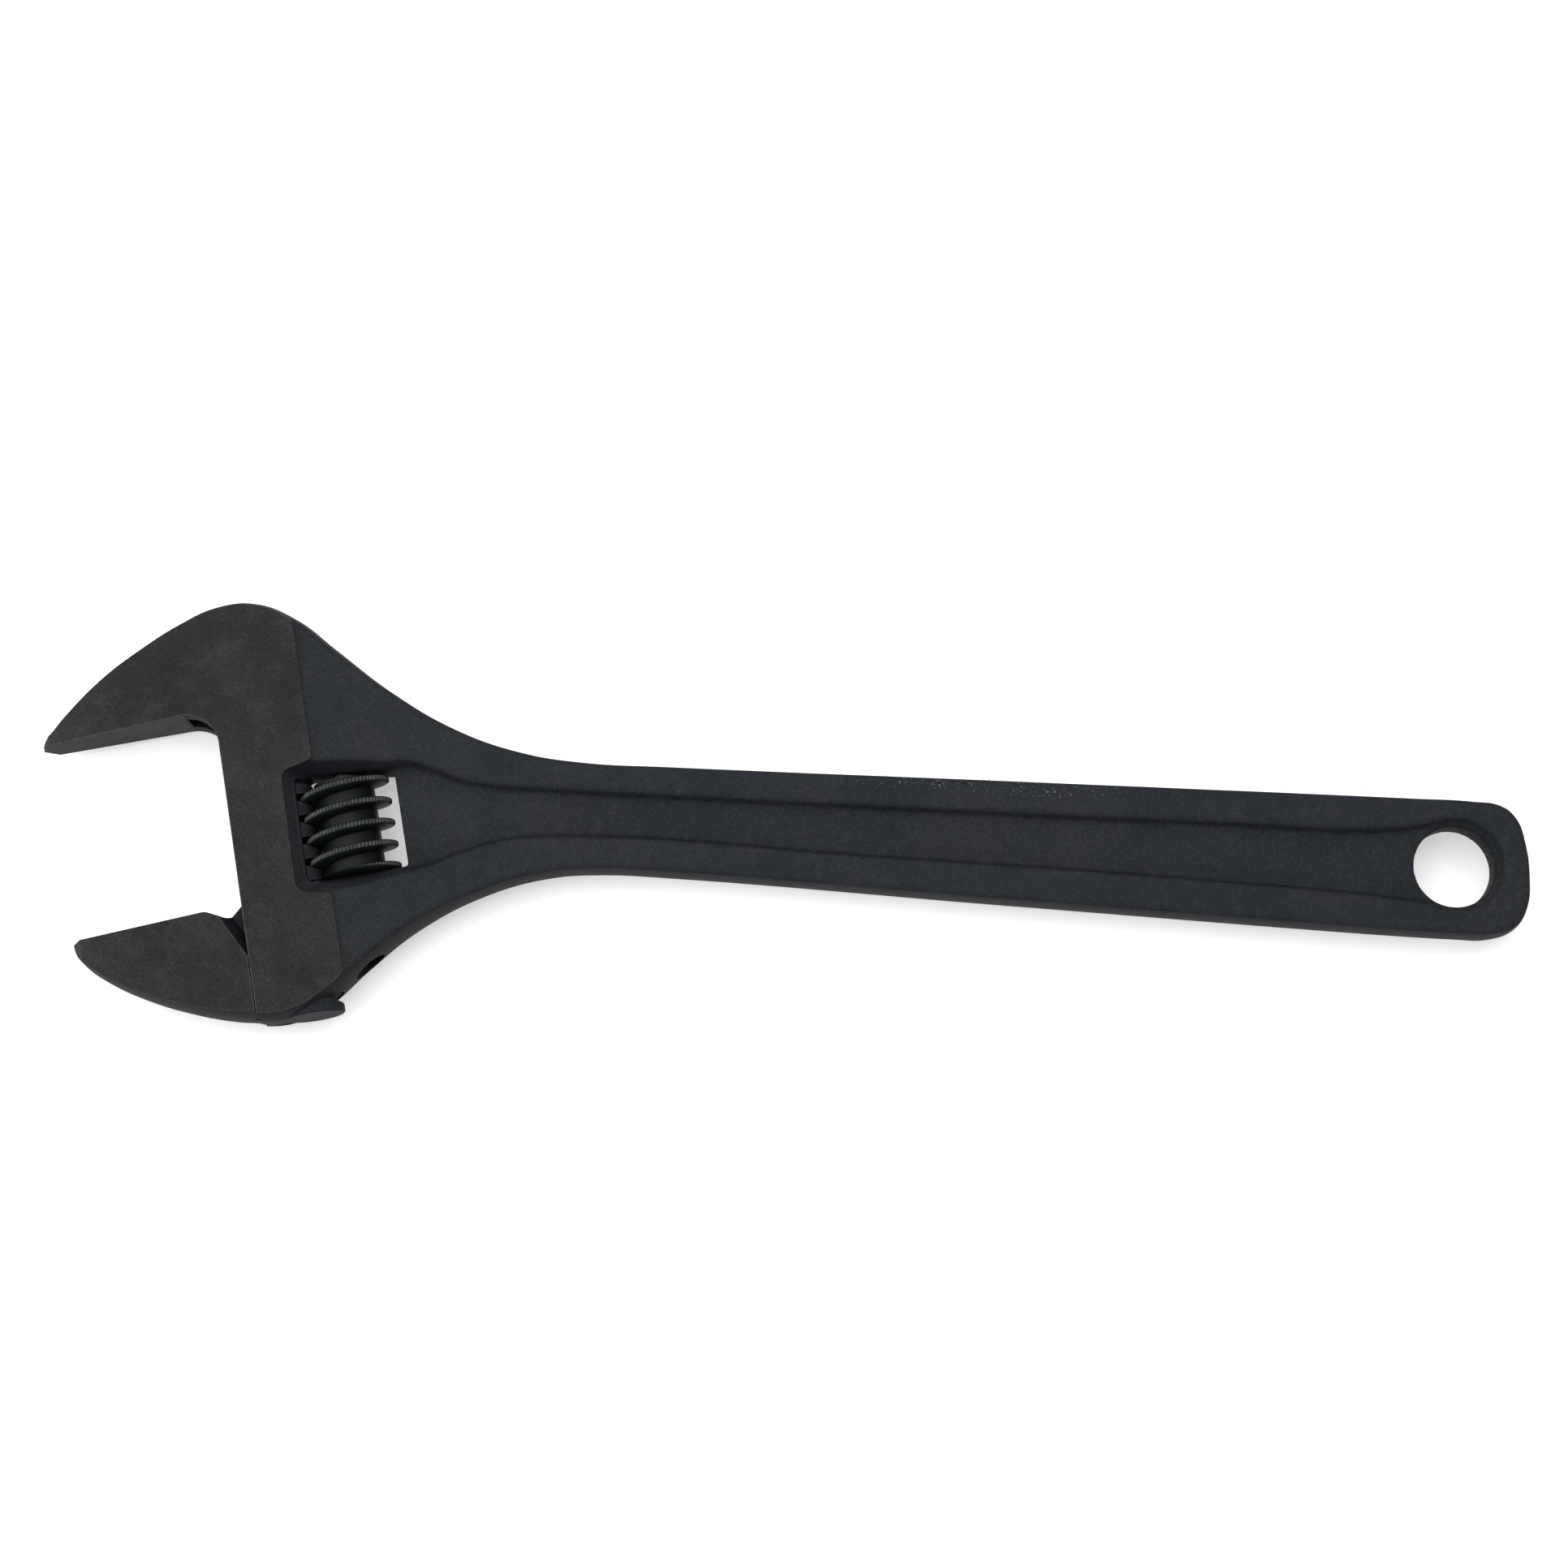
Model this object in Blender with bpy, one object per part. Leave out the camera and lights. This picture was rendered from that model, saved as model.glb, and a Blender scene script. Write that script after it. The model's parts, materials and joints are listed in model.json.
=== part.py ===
"""Adjustable wrench of the 15 inch size, in metres, lying on its side.

+X runs along the handle from the head to the hanging hole, +Y points to the fixed jaw's side
and +Z is up, through the wrench's thickness. The origin is under the middle of the whole tool.

The real tool comes apart into five pieces, and so does this one: the forged body with its
fixed jaw, the movable jaw with its toothed rod, the knurled adjusting worm, the screw pin that
the worm turns on, and the coil spring that takes up the worm's end play.

Two empties carry the pieces. "wrench_frame" stands at the hanging hole, in the mid-plane.
"head_frame" stands at the middle of the worm, turned by the angle of the head: in it X runs
across the throat, Y runs up the slide towards the fixed jaw, and outlines are written in it.
"""

import math

import bmesh
import bpy
from mathutils import Matrix, Vector

MM = 0.001

# ---- driving dimensions, millimetres and degrees -------------------------------------------

HOLE_FROM_MIDDLE = (171.066, 4.335)   # hanging hole, from the middle of the whole tool
WORM_FROM_HOLE = (-281.85, -1.56)     # middle of the worm, from the hanging hole
HEAD_ANGLE = 13.5                     # slide leans this much from square to the handle
JAW_FACE_ANGLE = 1.85                 # jaw faces lean this much more than the slide's square

HEAD_HALF = 10.0                      # half the thickness over the ground head faces
RIB_HALF = 6.3                        # half the thickness over the handle's ribs
WEB_HALF = 4.0                        # half the thickness of the sunk panel between them
JAW_TAPER = 0.103                     # each ground side falls this much per mm towards the tips
CROWN = 6.0                           # forged edges bulge as an ellipse this deep ...
CROWN_HEIGHT = 14.0                   # ... and this high, cut off by the ground sides

THROAT = -28.5                        # the throat wall, across the head frame
THROAT_FILLET = 9.0
FIXED_FACE = 28.9                     # height of the fixed jaw's face, at JAW_FACE_AT
MOVING_FACE = -22.2                   # height of the movable jaw's face, at JAW_FACE_AT
JAW_FACE_AT = -53.5
FIXED_TIP = -74.4                     # the jaws' tips, across the head frame
MOVING_TIP = -73.2
NOSE_SLOPE = 0.5                      # the tips are wedges that recede this much per mm of height
GROUND_EDGE = -6.2                    # the ground head face ends here, towards the handle

HANG_HOLE_RADIUS = 10.35

ROD_CENTRE = -15.5                    # the toothed rod's axis, across the head frame
ROD_RADIUS = 7.6
ROD_TOP = 7.7
HEEL = -51.4                          # lower end of the rod
WEB_TOP = -20.1                       # top of the jaw's web, inside its slot
WEB_SLOT_HALF = 4.1                   # half width of the slot that the jaw's web slides in
SLOT_TOP = 31.2
SLOT_END = -36.4                      # the slot also notches the fixed face up to here
RUNNING_GAP = 0.3

LEAD = 5.65                           # the worm moves the jaw this much in one turn
WORM_RADIUS = 11.55
WORM_ROOT_RADIUS = 7.6
WORM_TOP = 6.9
WORM_BOTTOM = -17.8
THREAD_CREST = 1.35                   # axial width of the thread at its crest
THREAD_SLOPE = 0.22                   # each flank widens this much per mm of depth
THREAD_PHASE = 0.35                   # height of a crest on the handle's side
TOOTH_GAP = 0.2                       # play between the thread and a rod tooth, each side

PIN_RADIUS = 2.5
PIN_TOP = 19.0
SCREW_RADIUS = 3.65
SCREW_TOP = -23.5
SCREW_BOTTOM = -35.5

SPRING_RADIUS = 3.7                   # to the middle of its wire
SPRING_WIRE = 0.4                     # radius of its wire
SPRING_BOTTOM = 1.6
SPRING_TOP = 7.9
SPRING_TURNS = 5
SPRING_POCKET_RADIUS = 4.8
SPOT_FACE = 8.7                       # flat seat of the spring in the window's upper wall


# ---- scene and placing ---------------------------------------------------------------------


def clear_scene():
    for obj in list(bpy.data.objects):
        bpy.data.objects.remove(obj, do_unlink=True)


def new_collection(name):
    collection = bpy.data.collections.new(name)
    bpy.context.scene.collection.children.link(collection)
    return collection


def new_empty(name, location, turn, parent=None):
    empty = bpy.data.objects.new(name, None)
    empty.location = Vector(location) * MM
    empty.rotation_euler.z = math.radians(turn)
    empty.parent = parent
    PARTS.objects.link(empty)
    return empty


def new_object(name, bm, collection, frame):
    """Turns a bmesh, in millimetres, into an object of that collection and frame."""
    bmesh.ops.recalc_face_normals(bm, faces=bm.faces)
    bmesh.ops.scale(bm, vec=(MM, MM, MM), verts=bm.verts)
    mesh = bpy.data.meshes.new(name)
    bm.to_mesh(mesh)
    bm.free()
    obj = bpy.data.objects.new(name, mesh)
    obj.parent = frame
    collection.objects.link(obj)
    if collection is CUTTERS:
        obj.hide_render = True
        obj.display_type = "WIRE"
    return obj


def new_material(name, colour, roughness, metallic):
    material = bpy.data.materials.new(name)
    material.use_nodes = True
    shader = material.node_tree.nodes["Principled BSDF"]
    shader.inputs["Base Color"].default_value = (*colour, 1.0)
    shader.inputs["Roughness"].default_value = roughness
    shader.inputs["Metallic"].default_value = metallic
    return material


def finish_piece(obj, material, smooth_angle=35.0):
    obj.data.materials.append(material)
    obj.data.shade_smooth()
    obj.data.set_sharp_from_angle(angle=math.radians(smooth_angle))


def boolean(target, tool, operation="DIFFERENCE"):
    modifier = target.modifiers.new(tool.name, "BOOLEAN")
    modifier.operation = operation
    modifier.object = tool
    modifier.solver = "EXACT"
    return modifier


# ---- shapes --------------------------------------------------------------------------------


def smooth_outline(points, steps=6):
    """A closed Bezier curve through the points, as a list of 2D points.

    A point written with a third value of True is a sharp corner."""
    data = bpy.data.curves.new("outline", "CURVE")
    data.dimensions = "2D"
    data.fill_mode = "NONE"
    data.resolution_u = steps
    spline = data.splines.new("BEZIER")
    spline.bezier_points.add(len(points) - 1)
    spline.use_cyclic_u = True
    for knot, point in zip(spline.bezier_points, points):
        knot.co = (point[0], point[1], 0.0)
        handle = "VECTOR" if len(point) == 3 else "AUTO"
        knot.handle_left_type = handle
        knot.handle_right_type = handle
    obj = bpy.data.objects.new("outline", data)
    bpy.context.scene.collection.objects.link(obj)
    bpy.context.view_layer.update()
    mesh = bpy.data.meshes.new_from_object(obj.evaluated_get(bpy.context.evaluated_depsgraph_get()))
    outline = [Vector((v.co.x, v.co.y)) for v in mesh.vertices]
    bpy.data.objects.remove(obj, do_unlink=True)
    return outline


def rounded_outline(points, steps=5):
    """A polygon whose corners, written (x, y, radius), are rounded with arcs."""
    outline = []
    count = len(points)
    for index, (x, y, radius) in enumerate(points):
        corner = Vector((x, y))
        before = (Vector(points[index - 1][:2]) - corner).normalized()
        after = (Vector(points[(index + 1) % count][:2]) - corner).normalized()
        if radius == 0.0:
            outline.append(corner)
            continue
        half_angle = before.angle(after) / 2.0
        centre = corner + (before + after).normalized() * radius / math.sin(half_angle)
        start = corner + before * radius / math.tan(half_angle) - centre
        end = corner + after * radius / math.tan(half_angle) - centre
        sweep = start.angle_signed(end)
        for step in range(steps + 1):
            turned = start.copy()
            turned.rotate(Matrix.Rotation(-sweep * step / steps, 2))
            outline.append(centre + turned)
    return outline


def inset_outline(outline, distance):
    """Moves each point inwards by the distance, square to the outline, or outwards if negative."""
    count = len(outline)
    area = sum(a.x * b.y - b.x * a.y for a, b in zip(outline, outline[1:] + outline[:1]))
    side = 1.0 if area > 0.0 else -1.0
    moved = []
    for index, point in enumerate(outline):
        before = (point - outline[index - 1]).normalized()
        after = (outline[(index + 1) % count] - point).normalized()
        normal_before = Vector((-before.y, before.x)) * side
        normal_after = Vector((-after.y, after.x)) * side
        bisector = (normal_before + normal_after).normalized()
        reach = distance / max(bisector.dot(normal_after), 0.5)
        moved.append(point + bisector * reach)
    return moved


def loft(name, sections, collection, frame):
    """A closed solid through the sections, each a (height, outline) with equal point counts."""
    bm = bmesh.new()
    rings = [[bm.verts.new((p.x, p.y, height)) for p in outline] for height, outline in sections]
    count = len(rings[0])
    for lower, upper in zip(rings, rings[1:]):
        for index in range(count):
            following = (index + 1) % count
            bm.faces.new((lower[index], lower[following], upper[following], upper[index]))
    bm.faces.new(list(reversed(rings[0])))
    bm.faces.new(rings[-1])
    return new_object(name, bm, collection, frame)


def lofted_plate(name, outline, levels, collection, frame):
    """A closed solid whose outline, at each level (height, inset), is drawn in by the inset."""
    sections = [(height, inset_outline(outline, inset)) for height, inset in levels]
    return loft(name, sections, collection, frame)


def crown_inset(height):
    """How far a forged edge has drawn in at this height above the mid-plane."""
    return CROWN * (1.0 - math.sqrt(1.0 - (height / CROWN_HEIGHT) ** 2))


def crowned_levels(half):
    heights = [half * share for share in (-1.0, -0.88, -0.68, -0.4, 0.4, 0.68, 0.88, 1.0)]
    return [(height, crown_inset(height)) for height in heights]


def straight_plate(name, outline, low, high, collection, frame):
    return lofted_plate(name, outline, [(low, 0.0), (high, 0.0)], collection, frame)


def side_profile(name, profile, low, high, collection, frame):
    """A prism: the profile lies in the frame's X and Z, and it runs along Y from low to high."""
    bm = bmesh.new()
    rings = []
    for y in (low, high):
        rings.append([bm.verts.new((x, y, z)) for x, z in profile])
    count = len(profile)
    for index in range(count):
        following = (index + 1) % count
        bm.faces.new((rings[0][index], rings[0][following], rings[1][following], rings[1][index]))
    bm.faces.new(rings[0])
    bm.faces.new(rings[1])
    return new_object(name, bm, collection, frame)


def slide_cylinder(name, radius, low, high, across, collection, frame, segments=48):
    """A cylinder along the slide, at this place across the head frame."""
    bm = bmesh.new()
    place = Matrix.Translation((across, (low + high) / 2.0, 0.0)) @ Matrix.Rotation(-math.pi / 2, 4, "X")
    bmesh.ops.create_cone(bm, cap_ends=True, segments=segments, radius1=radius, radius2=radius,
                          depth=high - low, matrix=place)
    return new_object(name, bm, collection, frame)


def flat_cylinder(name, radius, half, collection, frame, segments=64):
    """A cylinder through the wrench's thickness, at the frame's origin."""
    bm = bmesh.new()
    bmesh.ops.create_cone(bm, cap_ends=True, segments=segments, radius1=radius, radius2=radius,
                          depth=2.0 * half)
    return new_object(name, bm, collection, frame)


def box(name, low, high, collection, frame):
    bm = bmesh.new()
    size = Vector(high) - Vector(low)
    middle = (Vector(high) + Vector(low)) / 2.0
    bmesh.ops.create_cube(bm, size=1.0, matrix=Matrix.Translation(middle) @ Matrix.Diagonal((*size, 1.0)))
    return new_object(name, bm, collection, frame)


def face_height(base, across):
    """Height of a jaw face, whose height at JAW_FACE_AT is base, at this place across the head."""
    return base + (across - JAW_FACE_AT) * math.tan(math.radians(JAW_FACE_ANGLE))


# ---- the forged body -----------------------------------------------------------------------

BODY_OUTLINE = [
    # hook of the fixed jaw, from below its tip over the crest of the head
    (-362.6, 2.0), (-362.1, 7.5), (-361.0, 10.1), (-358.9, 12.3), (-355.8, 16.9), (-347.0, 27.7),
    (-337.8, 36.1), (-328.7, 43.1), (-319.1, 48.5), (-309.0, 50.1), (-298.4, 46.6), (-287.8, 39.4),
    # neck, falling into the handle's upper edge
    (-272.8, 29.2), (-255.5, 20.3), (-238.4, 15.3), (-222.0, 13.6), (-200.0, 13.8),
    # handle, its rounded end, and back along the lower edge
    (-110.0, 15.5), (-10.0, 17.2), (4.0, 17.3), (11.6, 16.5), (15.6, 13.2), (17.9, 7.0),
    (19.1, -2.5), (18.5, -9.8), (15.8, -14.7), (10.5, -17.1), (2.0, -17.6), (-110.0, -15.9),
    (-200.0, -14.0), (-215.0, -14.2),
    # lower neck, down to the heel of the head and the foot of the throat
    (-228.9, -15.9), (-245.2, -21.6), (-261.1, -31.4), (-272.8, -42.3), (-281.0, -51.0),
    (-288.3, -56.0), (-297.0, -58.1), (-312.0, -56.0, True), (-330.0, 2.0, True),
]

PANEL_OUTLINE = [
    # floor of the sunk panel: its end beside the window first, then round the hanging hole
    (-272.0, 2.0), (-270.0, 7.6), (-262.0, 8.2), (-254.0, 5.8), (-244.0, 4.7), (-228.0, 4.6),
    (-150.0, 5.2), (-60.0, 6.4), (-14.0, 7.7), (-5.0, 9.8), (0.5, 11.0), (7.6, 8.0), (11.0, 0.0),
    (8.2, -7.2), (1.5, -10.4), (-8.0, -9.0), (-60.0, -6.8), (-150.0, -5.7), (-226.0, -5.3),
    (-241.0, -7.3), (-252.0, -11.2), (-259.0, -14.2), (-264.5, -15.4), (-268.5, -11.0),
]

RECESS_FLOOR = [
    # the sunk field round the window, at the web; its right end opens into the panel
    (-8.9, 8.6, 0.8), (-6.2, 8.8, 0.8), (18.0, 5.95, 0.0), (18.0, -17.9, 0.0), (-4.0, -18.0, 1.5),
    (-8.9, -18.0, 1.5),
]

RECESS_RIM = [
    # the same field at the ground sides
    (-14.3, 10.4, 2.5), (-5.6, 12.4, 2.0), (18.0, 9.7, 0.0), (18.0, -21.3, 0.0), (-5.0, -22.8, 3.0),
    (-14.6, -21.2, 3.0),
]


def make_blank():
    outline = smooth_outline(BODY_OUTLINE, steps=5)
    return lofted_plate("wrench_body", outline, crowned_levels(HEAD_HALF), PARTS, WRENCH)


def cut_both_sides(body, name, profile, low, high, frame):
    """Cuts a side profile from the upper side and, mirrored, from the lower side."""
    for label, sign in (("upper", 1.0), ("lower", -1.0)):
        mirrored = [(x, z * sign) for x, z in profile]
        tool = side_profile(f"{name}_{label}", mirrored, low, high, CUTTERS, frame)
        boolean(body, tool)


def neck_profile():
    """The forged neck falls from the head's thickness to the ribs' along a half cosine."""
    start, end = HEAD_HALF - 0.55, RIB_HALF
    fall_start, fall_end = GROUND_EDGE, 34.0
    profile = [(fall_start, HEAD_HALF + 6.0)]
    steps = 12
    for step in range(steps + 1):
        share = step / steps
        height = end + (start - end) * (1.0 + math.cos(math.pi * share)) / 2.0
        profile.append((fall_start + 0.4 + (fall_end - fall_start) * share, height))
    profile.append((330.0, end))
    profile.append((330.0, HEAD_HALF + 6.0))
    return profile


def jaw_taper_profile(half):
    """Each jaw thins towards its tip: what lies above this slope is ground away."""
    reach = 70.0
    return [(THROAT, half), (THROAT - reach, half - JAW_TAPER * reach),
            (THROAT - reach, half + 6.0), (THROAT, half + 6.0)]


def nose_profile(tip):
    """The tip of a jaw, seen along its face, is a blunt wedge."""
    half = 12.0
    back = tip + half * NOSE_SLOPE
    far = tip - 30.0
    return [(tip, 0.0), (back, half), (far, half), (far, -half), (back, -half)]


def mouth_outline():
    """The space between the jaws: the fixed face, the filleted corner and the throat wall."""
    far = -100.0
    return rounded_outline([
        (far, face_height(FIXED_FACE, far), 0.0),
        (THROAT, face_height(FIXED_FACE, THROAT), THROAT_FILLET),
        (THROAT, -70.0, 0.0),
        (far, -70.0, 0.0),
    ], steps=6)


def cut_panel(body):
    """The sunk panel of each side, with walls that lean outwards."""
    outline = smooth_outline(PANEL_OUTLINE, steps=4)
    for label, sign in (("upper", 1.0), ("lower", -1.0)):
        depth = HEAD_HALF + 2.0 - WEB_HALF
        levels = [(WEB_HALF * sign, 0.0), ((WEB_HALF + depth) * sign, -0.66 * depth)]
        tool = lofted_plate(f"panel_{label}", outline, levels, CUTTERS, WRENCH)
        boolean(body, tool)


def cut_window_recess(body):
    """The sunk field round the window of each side, with a cut corner at the rod's upper end."""
    floor = rounded_outline(RECESS_FLOOR, steps=4)
    rim = rounded_outline(RECESS_RIM, steps=4)
    beyond = [high + (high - low) * 0.5 for low, high in zip(floor, rim)]
    rise = HEAD_HALF - WEB_HALF
    for label, sign in (("upper", 1.0), ("lower", -1.0)):
        sections = [(WEB_HALF * sign, floor), (HEAD_HALF * sign, rim),
                    ((HEAD_HALF + rise * 0.5) * sign, beyond)]
        boolean(body, loft(f"recess_{label}", sections, CUTTERS, HEAD))


def cut_window(body):
    """The opening that the worm sits in, right through the web."""
    outline = rounded_outline([
        (-9.8, 7.9, 0.6), (-8.1, 9.2, 0.6), (13.6, 7.3, 0.8), (13.6, -18.1, 0.8), (-9.8, -18.1, 0.4),
    ], steps=4)
    boolean(body, straight_plate("window", outline, -20.0, 20.0, CUTTERS, HEAD))


def cut_slide(body):
    """The keyhole channel: a round bore for the rod and a slot for the web of the jaw."""
    bore = slide_cylinder("rod_bore", ROD_RADIUS + RUNNING_GAP, -80.0, 80.0, ROD_CENTRE, CUTTERS, HEAD, 64)
    boolean(body, bore)
    outline = rounded_outline([
        (SLOT_END, SLOT_TOP, 2.0), (ROD_CENTRE, SLOT_TOP, 0.0), (ROD_CENTRE, -80.0, 0.0),
        (SLOT_END, -80.0, 0.0),
    ])
    boolean(body, straight_plate("web_slot", outline, -WEB_SLOT_HALF, WEB_SLOT_HALF, CUTTERS, HEAD))


def cut_worm_pin_bore(body):
    bore = slide_cylinder("pin_bore", PIN_RADIUS + RUNNING_GAP, SCREW_BOTTOM, PIN_TOP + RUNNING_GAP,
                          0.0, CUTTERS, HEAD, 32)
    boolean(body, bore)
    screw_bore = slide_cylinder("screw_bore", SCREW_RADIUS + RUNNING_GAP, -70.0, SCREW_TOP + RUNNING_GAP,
                                0.0, CUTTERS, HEAD, 32)
    boolean(body, screw_bore)
    seat = slide_cylinder("spring_seat", SPRING_POCKET_RADIUS + 0.4, 0.0, SPOT_FACE, 0.0, CUTTERS, HEAD, 32)
    boolean(body, seat)


def make_body(material):
    body = make_blank()
    cut_both_sides(body, "neck_fall", neck_profile(), -160.0, 160.0, HEAD)
    cut_both_sides(body, "jaw_taper", jaw_taper_profile(HEAD_HALF), 10.0, 90.0, HEAD)
    boolean(body, side_profile("fixed_nose", nose_profile(FIXED_TIP), 10.0, 60.0, CUTTERS, HEAD))
    boolean(body, straight_plate("mouth", mouth_outline(), -20.0, 20.0, CUTTERS, HEAD))
    cut_panel(body)
    cut_window_recess(body)
    cut_window(body)
    cut_slide(body)
    cut_worm_pin_bore(body)
    boolean(body, flat_cylinder("hang_hole", HANG_HOLE_RADIUS, 20.0, CUTTERS, WRENCH))
    finish_piece(body, material)
    return body


# ---- the movable jaw -----------------------------------------------------------------------


HOOK_OUTLINE = [
    # the forged blank of the hook, before its face, corner and back are machined
    (-72.9, -19.0), (-66.0, -13.0), (-24.0, -13.0, True), (-24.0, -51.2, True), (-31.0, -50.1),
    (-37.3, -48.5), (-46.8, -44.9), (-56.2, -40.2), (-65.4, -34.0), (-70.6, -28.9), (-73.0, -24.3),
]


def jaw_top_outline():
    """Everything above the movable jaw: its face, the rounded corner and the web's hollow."""
    far = -100.0
    return rounded_outline([
        (far, face_height(MOVING_FACE, far), 0.0),
        (-38.0, face_height(MOVING_FACE, -38.0), 3.5),
        (-33.0, -24.2, 2.0),
        (THROAT, WEB_TOP, 0.0),
        (ROD_CENTRE + 10.0, WEB_TOP, 0.0),
        (ROD_CENTRE + 10.0, 40.0, 0.0),
        (far, 40.0, 0.0),
    ])


def cut_corner_pockets(jaw, web_half):
    """The clipped corner of each side, sloping from the ground side down past the web's face."""
    outline = [Vector(point) for point in ((-41.2, -10.0), (-26.4, -37.3), (-14.0, -37.3), (-14.0, -10.0))]
    for label, sign in (("upper", 1.0), ("lower", -1.0)):
        levels = [((web_half - 0.6) * sign, 1.85), ((web_half + 9.0) * sign, -2.2)]
        boolean(jaw, lofted_plate(f"corner_{label}", outline, levels, CUTTERS, HEAD))


def make_rod_teeth(jaw):
    """Cuts the gaps between the rod's teeth, each leaning with the worm's thread."""
    lean = LEAD / (2.0 * math.pi * (WORM_RADIUS + WORM_ROOT_RADIUS) / 2.0)
    floor = -(WORM_RADIUS + RUNNING_GAP)
    mouth = -4.0
    floor_half = THREAD_CREST / 2.0 + TOOTH_GAP
    mouth_half = floor_half + THREAD_SLOPE * (mouth - floor)
    reach = ROD_RADIUS + 2.0
    first = math.ceil((HEEL - THREAD_PHASE) / LEAD)
    last = math.floor((ROD_TOP + LEAD - THREAD_PHASE) / LEAD)
    for number, turn in enumerate(range(first, last + 1)):
        middle = THREAD_PHASE + (turn - 0.5) * LEAD
        bm = bmesh.new()
        rings = []
        for z in (-reach, reach):
            shift = middle + z * lean
            rings.append([bm.verts.new((x, shift + y, z)) for x, y in (
                (floor, -floor_half), (mouth, -mouth_half), (mouth, mouth_half), (floor, floor_half))])
        for index in range(4):
            following = (index + 1) % 4
            bm.faces.new((rings[0][index], rings[0][following], rings[1][following], rings[1][index]))
        bm.faces.new(rings[0])
        bm.faces.new(rings[1])
        boolean(jaw, new_object(f"tooth_gap_{number}", bm, CUTTERS, HEAD))


def make_movable_jaw(material):
    sides = HEAD_HALF - 0.1
    web_half = WEB_SLOT_HALF - RUNNING_GAP
    jaw = lofted_plate("movable_jaw", smooth_outline(HOOK_OUTLINE, steps=5), crowned_levels(sides), PARTS, HEAD)
    cut_both_sides(jaw, "moving_taper", jaw_taper_profile(sides), -80.0, 10.0, HEAD)
    boolean(jaw, side_profile("moving_nose", nose_profile(MOVING_TIP), -80.0, 10.0, CUTTERS, HEAD))
    boolean(jaw, box("jaw_back", (THROAT - RUNNING_GAP, -80.0, -20.0), (10.0, 10.0, 20.0), CUTTERS, HEAD))
    cut_corner_pockets(jaw, web_half)
    web_outline = rounded_outline([
        (-42.0, -14.0, 0.0), (ROD_CENTRE, -14.0, 0.0), (ROD_CENTRE, HEEL, 0.0), (-27.0, HEEL, 4.0),
        (-42.0, -45.0, 0.0),
    ])
    boolean(jaw, straight_plate("jaw_web", web_outline, -web_half, web_half, CUTTERS, HEAD), "UNION")
    boolean(jaw, straight_plate("jaw_top", jaw_top_outline(), -20.0, 20.0, CUTTERS, HEAD))
    rod = slide_cylinder("jaw_rod", ROD_RADIUS, HEEL, ROD_TOP, ROD_CENTRE, CUTTERS, HEAD, 64)
    boolean(jaw, rod, "UNION")
    make_rod_teeth(jaw)
    finish_piece(jaw, material)
    return jaw


# ---- worm, pin and spring ------------------------------------------------------------------


def make_thread():
    """The worm's right-hand thread: a tapered ridge swept up the helix, deeper than the root."""
    steps_per_turn = 36
    foot = WORM_ROOT_RADIUS - 0.8
    crest_half = THREAD_CREST / 2.0
    foot_half = crest_half + THREAD_SLOPE * (WORM_RADIUS - foot)
    section = [(foot, -foot_half), (WORM_RADIUS, -crest_half), (WORM_RADIUS, crest_half), (foot, foot_half)]
    first_turn = math.floor((WORM_BOTTOM - THREAD_PHASE) / LEAD) - 1
    last_turn = math.ceil((WORM_TOP - THREAD_PHASE) / LEAD) + 1
    steps = (last_turn - first_turn) * steps_per_turn
    bm = bmesh.new()
    rings = []
    for step in range(steps + 1):
        turn = first_turn + step / steps_per_turn
        angle = 2.0 * math.pi * turn
        height = THREAD_PHASE + LEAD * turn
        rings.append([bm.verts.new((radius * math.cos(angle), height + offset, -radius * math.sin(angle)))
                      for radius, offset in section])
    for lower, upper in zip(rings, rings[1:]):
        for index in range(4):
            following = (index + 1) % 4
            bm.faces.new((lower[index], lower[following], upper[following], upper[index]))
    bm.faces.new(rings[0])
    bm.faces.new(rings[-1])
    return new_object("thread", bm, CUTTERS, HEAD)


def make_worm(material):
    worm = slide_cylinder("adjusting_worm", WORM_ROOT_RADIUS, WORM_BOTTOM - 12.0, WORM_TOP + 12.0, 0.0,
                          PARTS, HEAD, 72)
    boolean(worm, make_thread(), "UNION")
    ends = slide_cylinder("worm_ends", WORM_RADIUS + 3.0, WORM_BOTTOM, WORM_TOP, 0.0, CUTTERS, HEAD, 24)
    boolean(worm, ends, "INTERSECT")
    bore = slide_cylinder("worm_bore", PIN_RADIUS + RUNNING_GAP, -40.0, 40.0, 0.0, CUTTERS, HEAD, 32)
    boolean(worm, bore)
    pocket = slide_cylinder("spring_pocket", SPRING_POCKET_RADIUS,
                            SPRING_BOTTOM - SPRING_WIRE - RUNNING_GAP, 40.0, 0.0, CUTTERS, HEAD, 32)
    boolean(worm, pocket)
    finish_piece(worm, material)
    return worm


def make_pin(material):
    """A slotted screw whose plain shank is the worm's axle."""
    pin = slide_cylinder("worm_pin", PIN_RADIUS, SCREW_TOP - 1.0, PIN_TOP, 0.0, PARTS, HEAD, 32)
    head = slide_cylinder("pin_screw", SCREW_RADIUS, SCREW_BOTTOM, SCREW_TOP, 0.0, CUTTERS, HEAD, 32)
    boolean(pin, head, "UNION")
    slot = box("driver_slot", (-10.0, SCREW_BOTTOM - 1.0, -0.5), (10.0, SCREW_BOTTOM + 1.6, 0.5), CUTTERS, HEAD)
    boolean(pin, slot)
    finish_piece(pin, material)
    return pin


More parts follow.
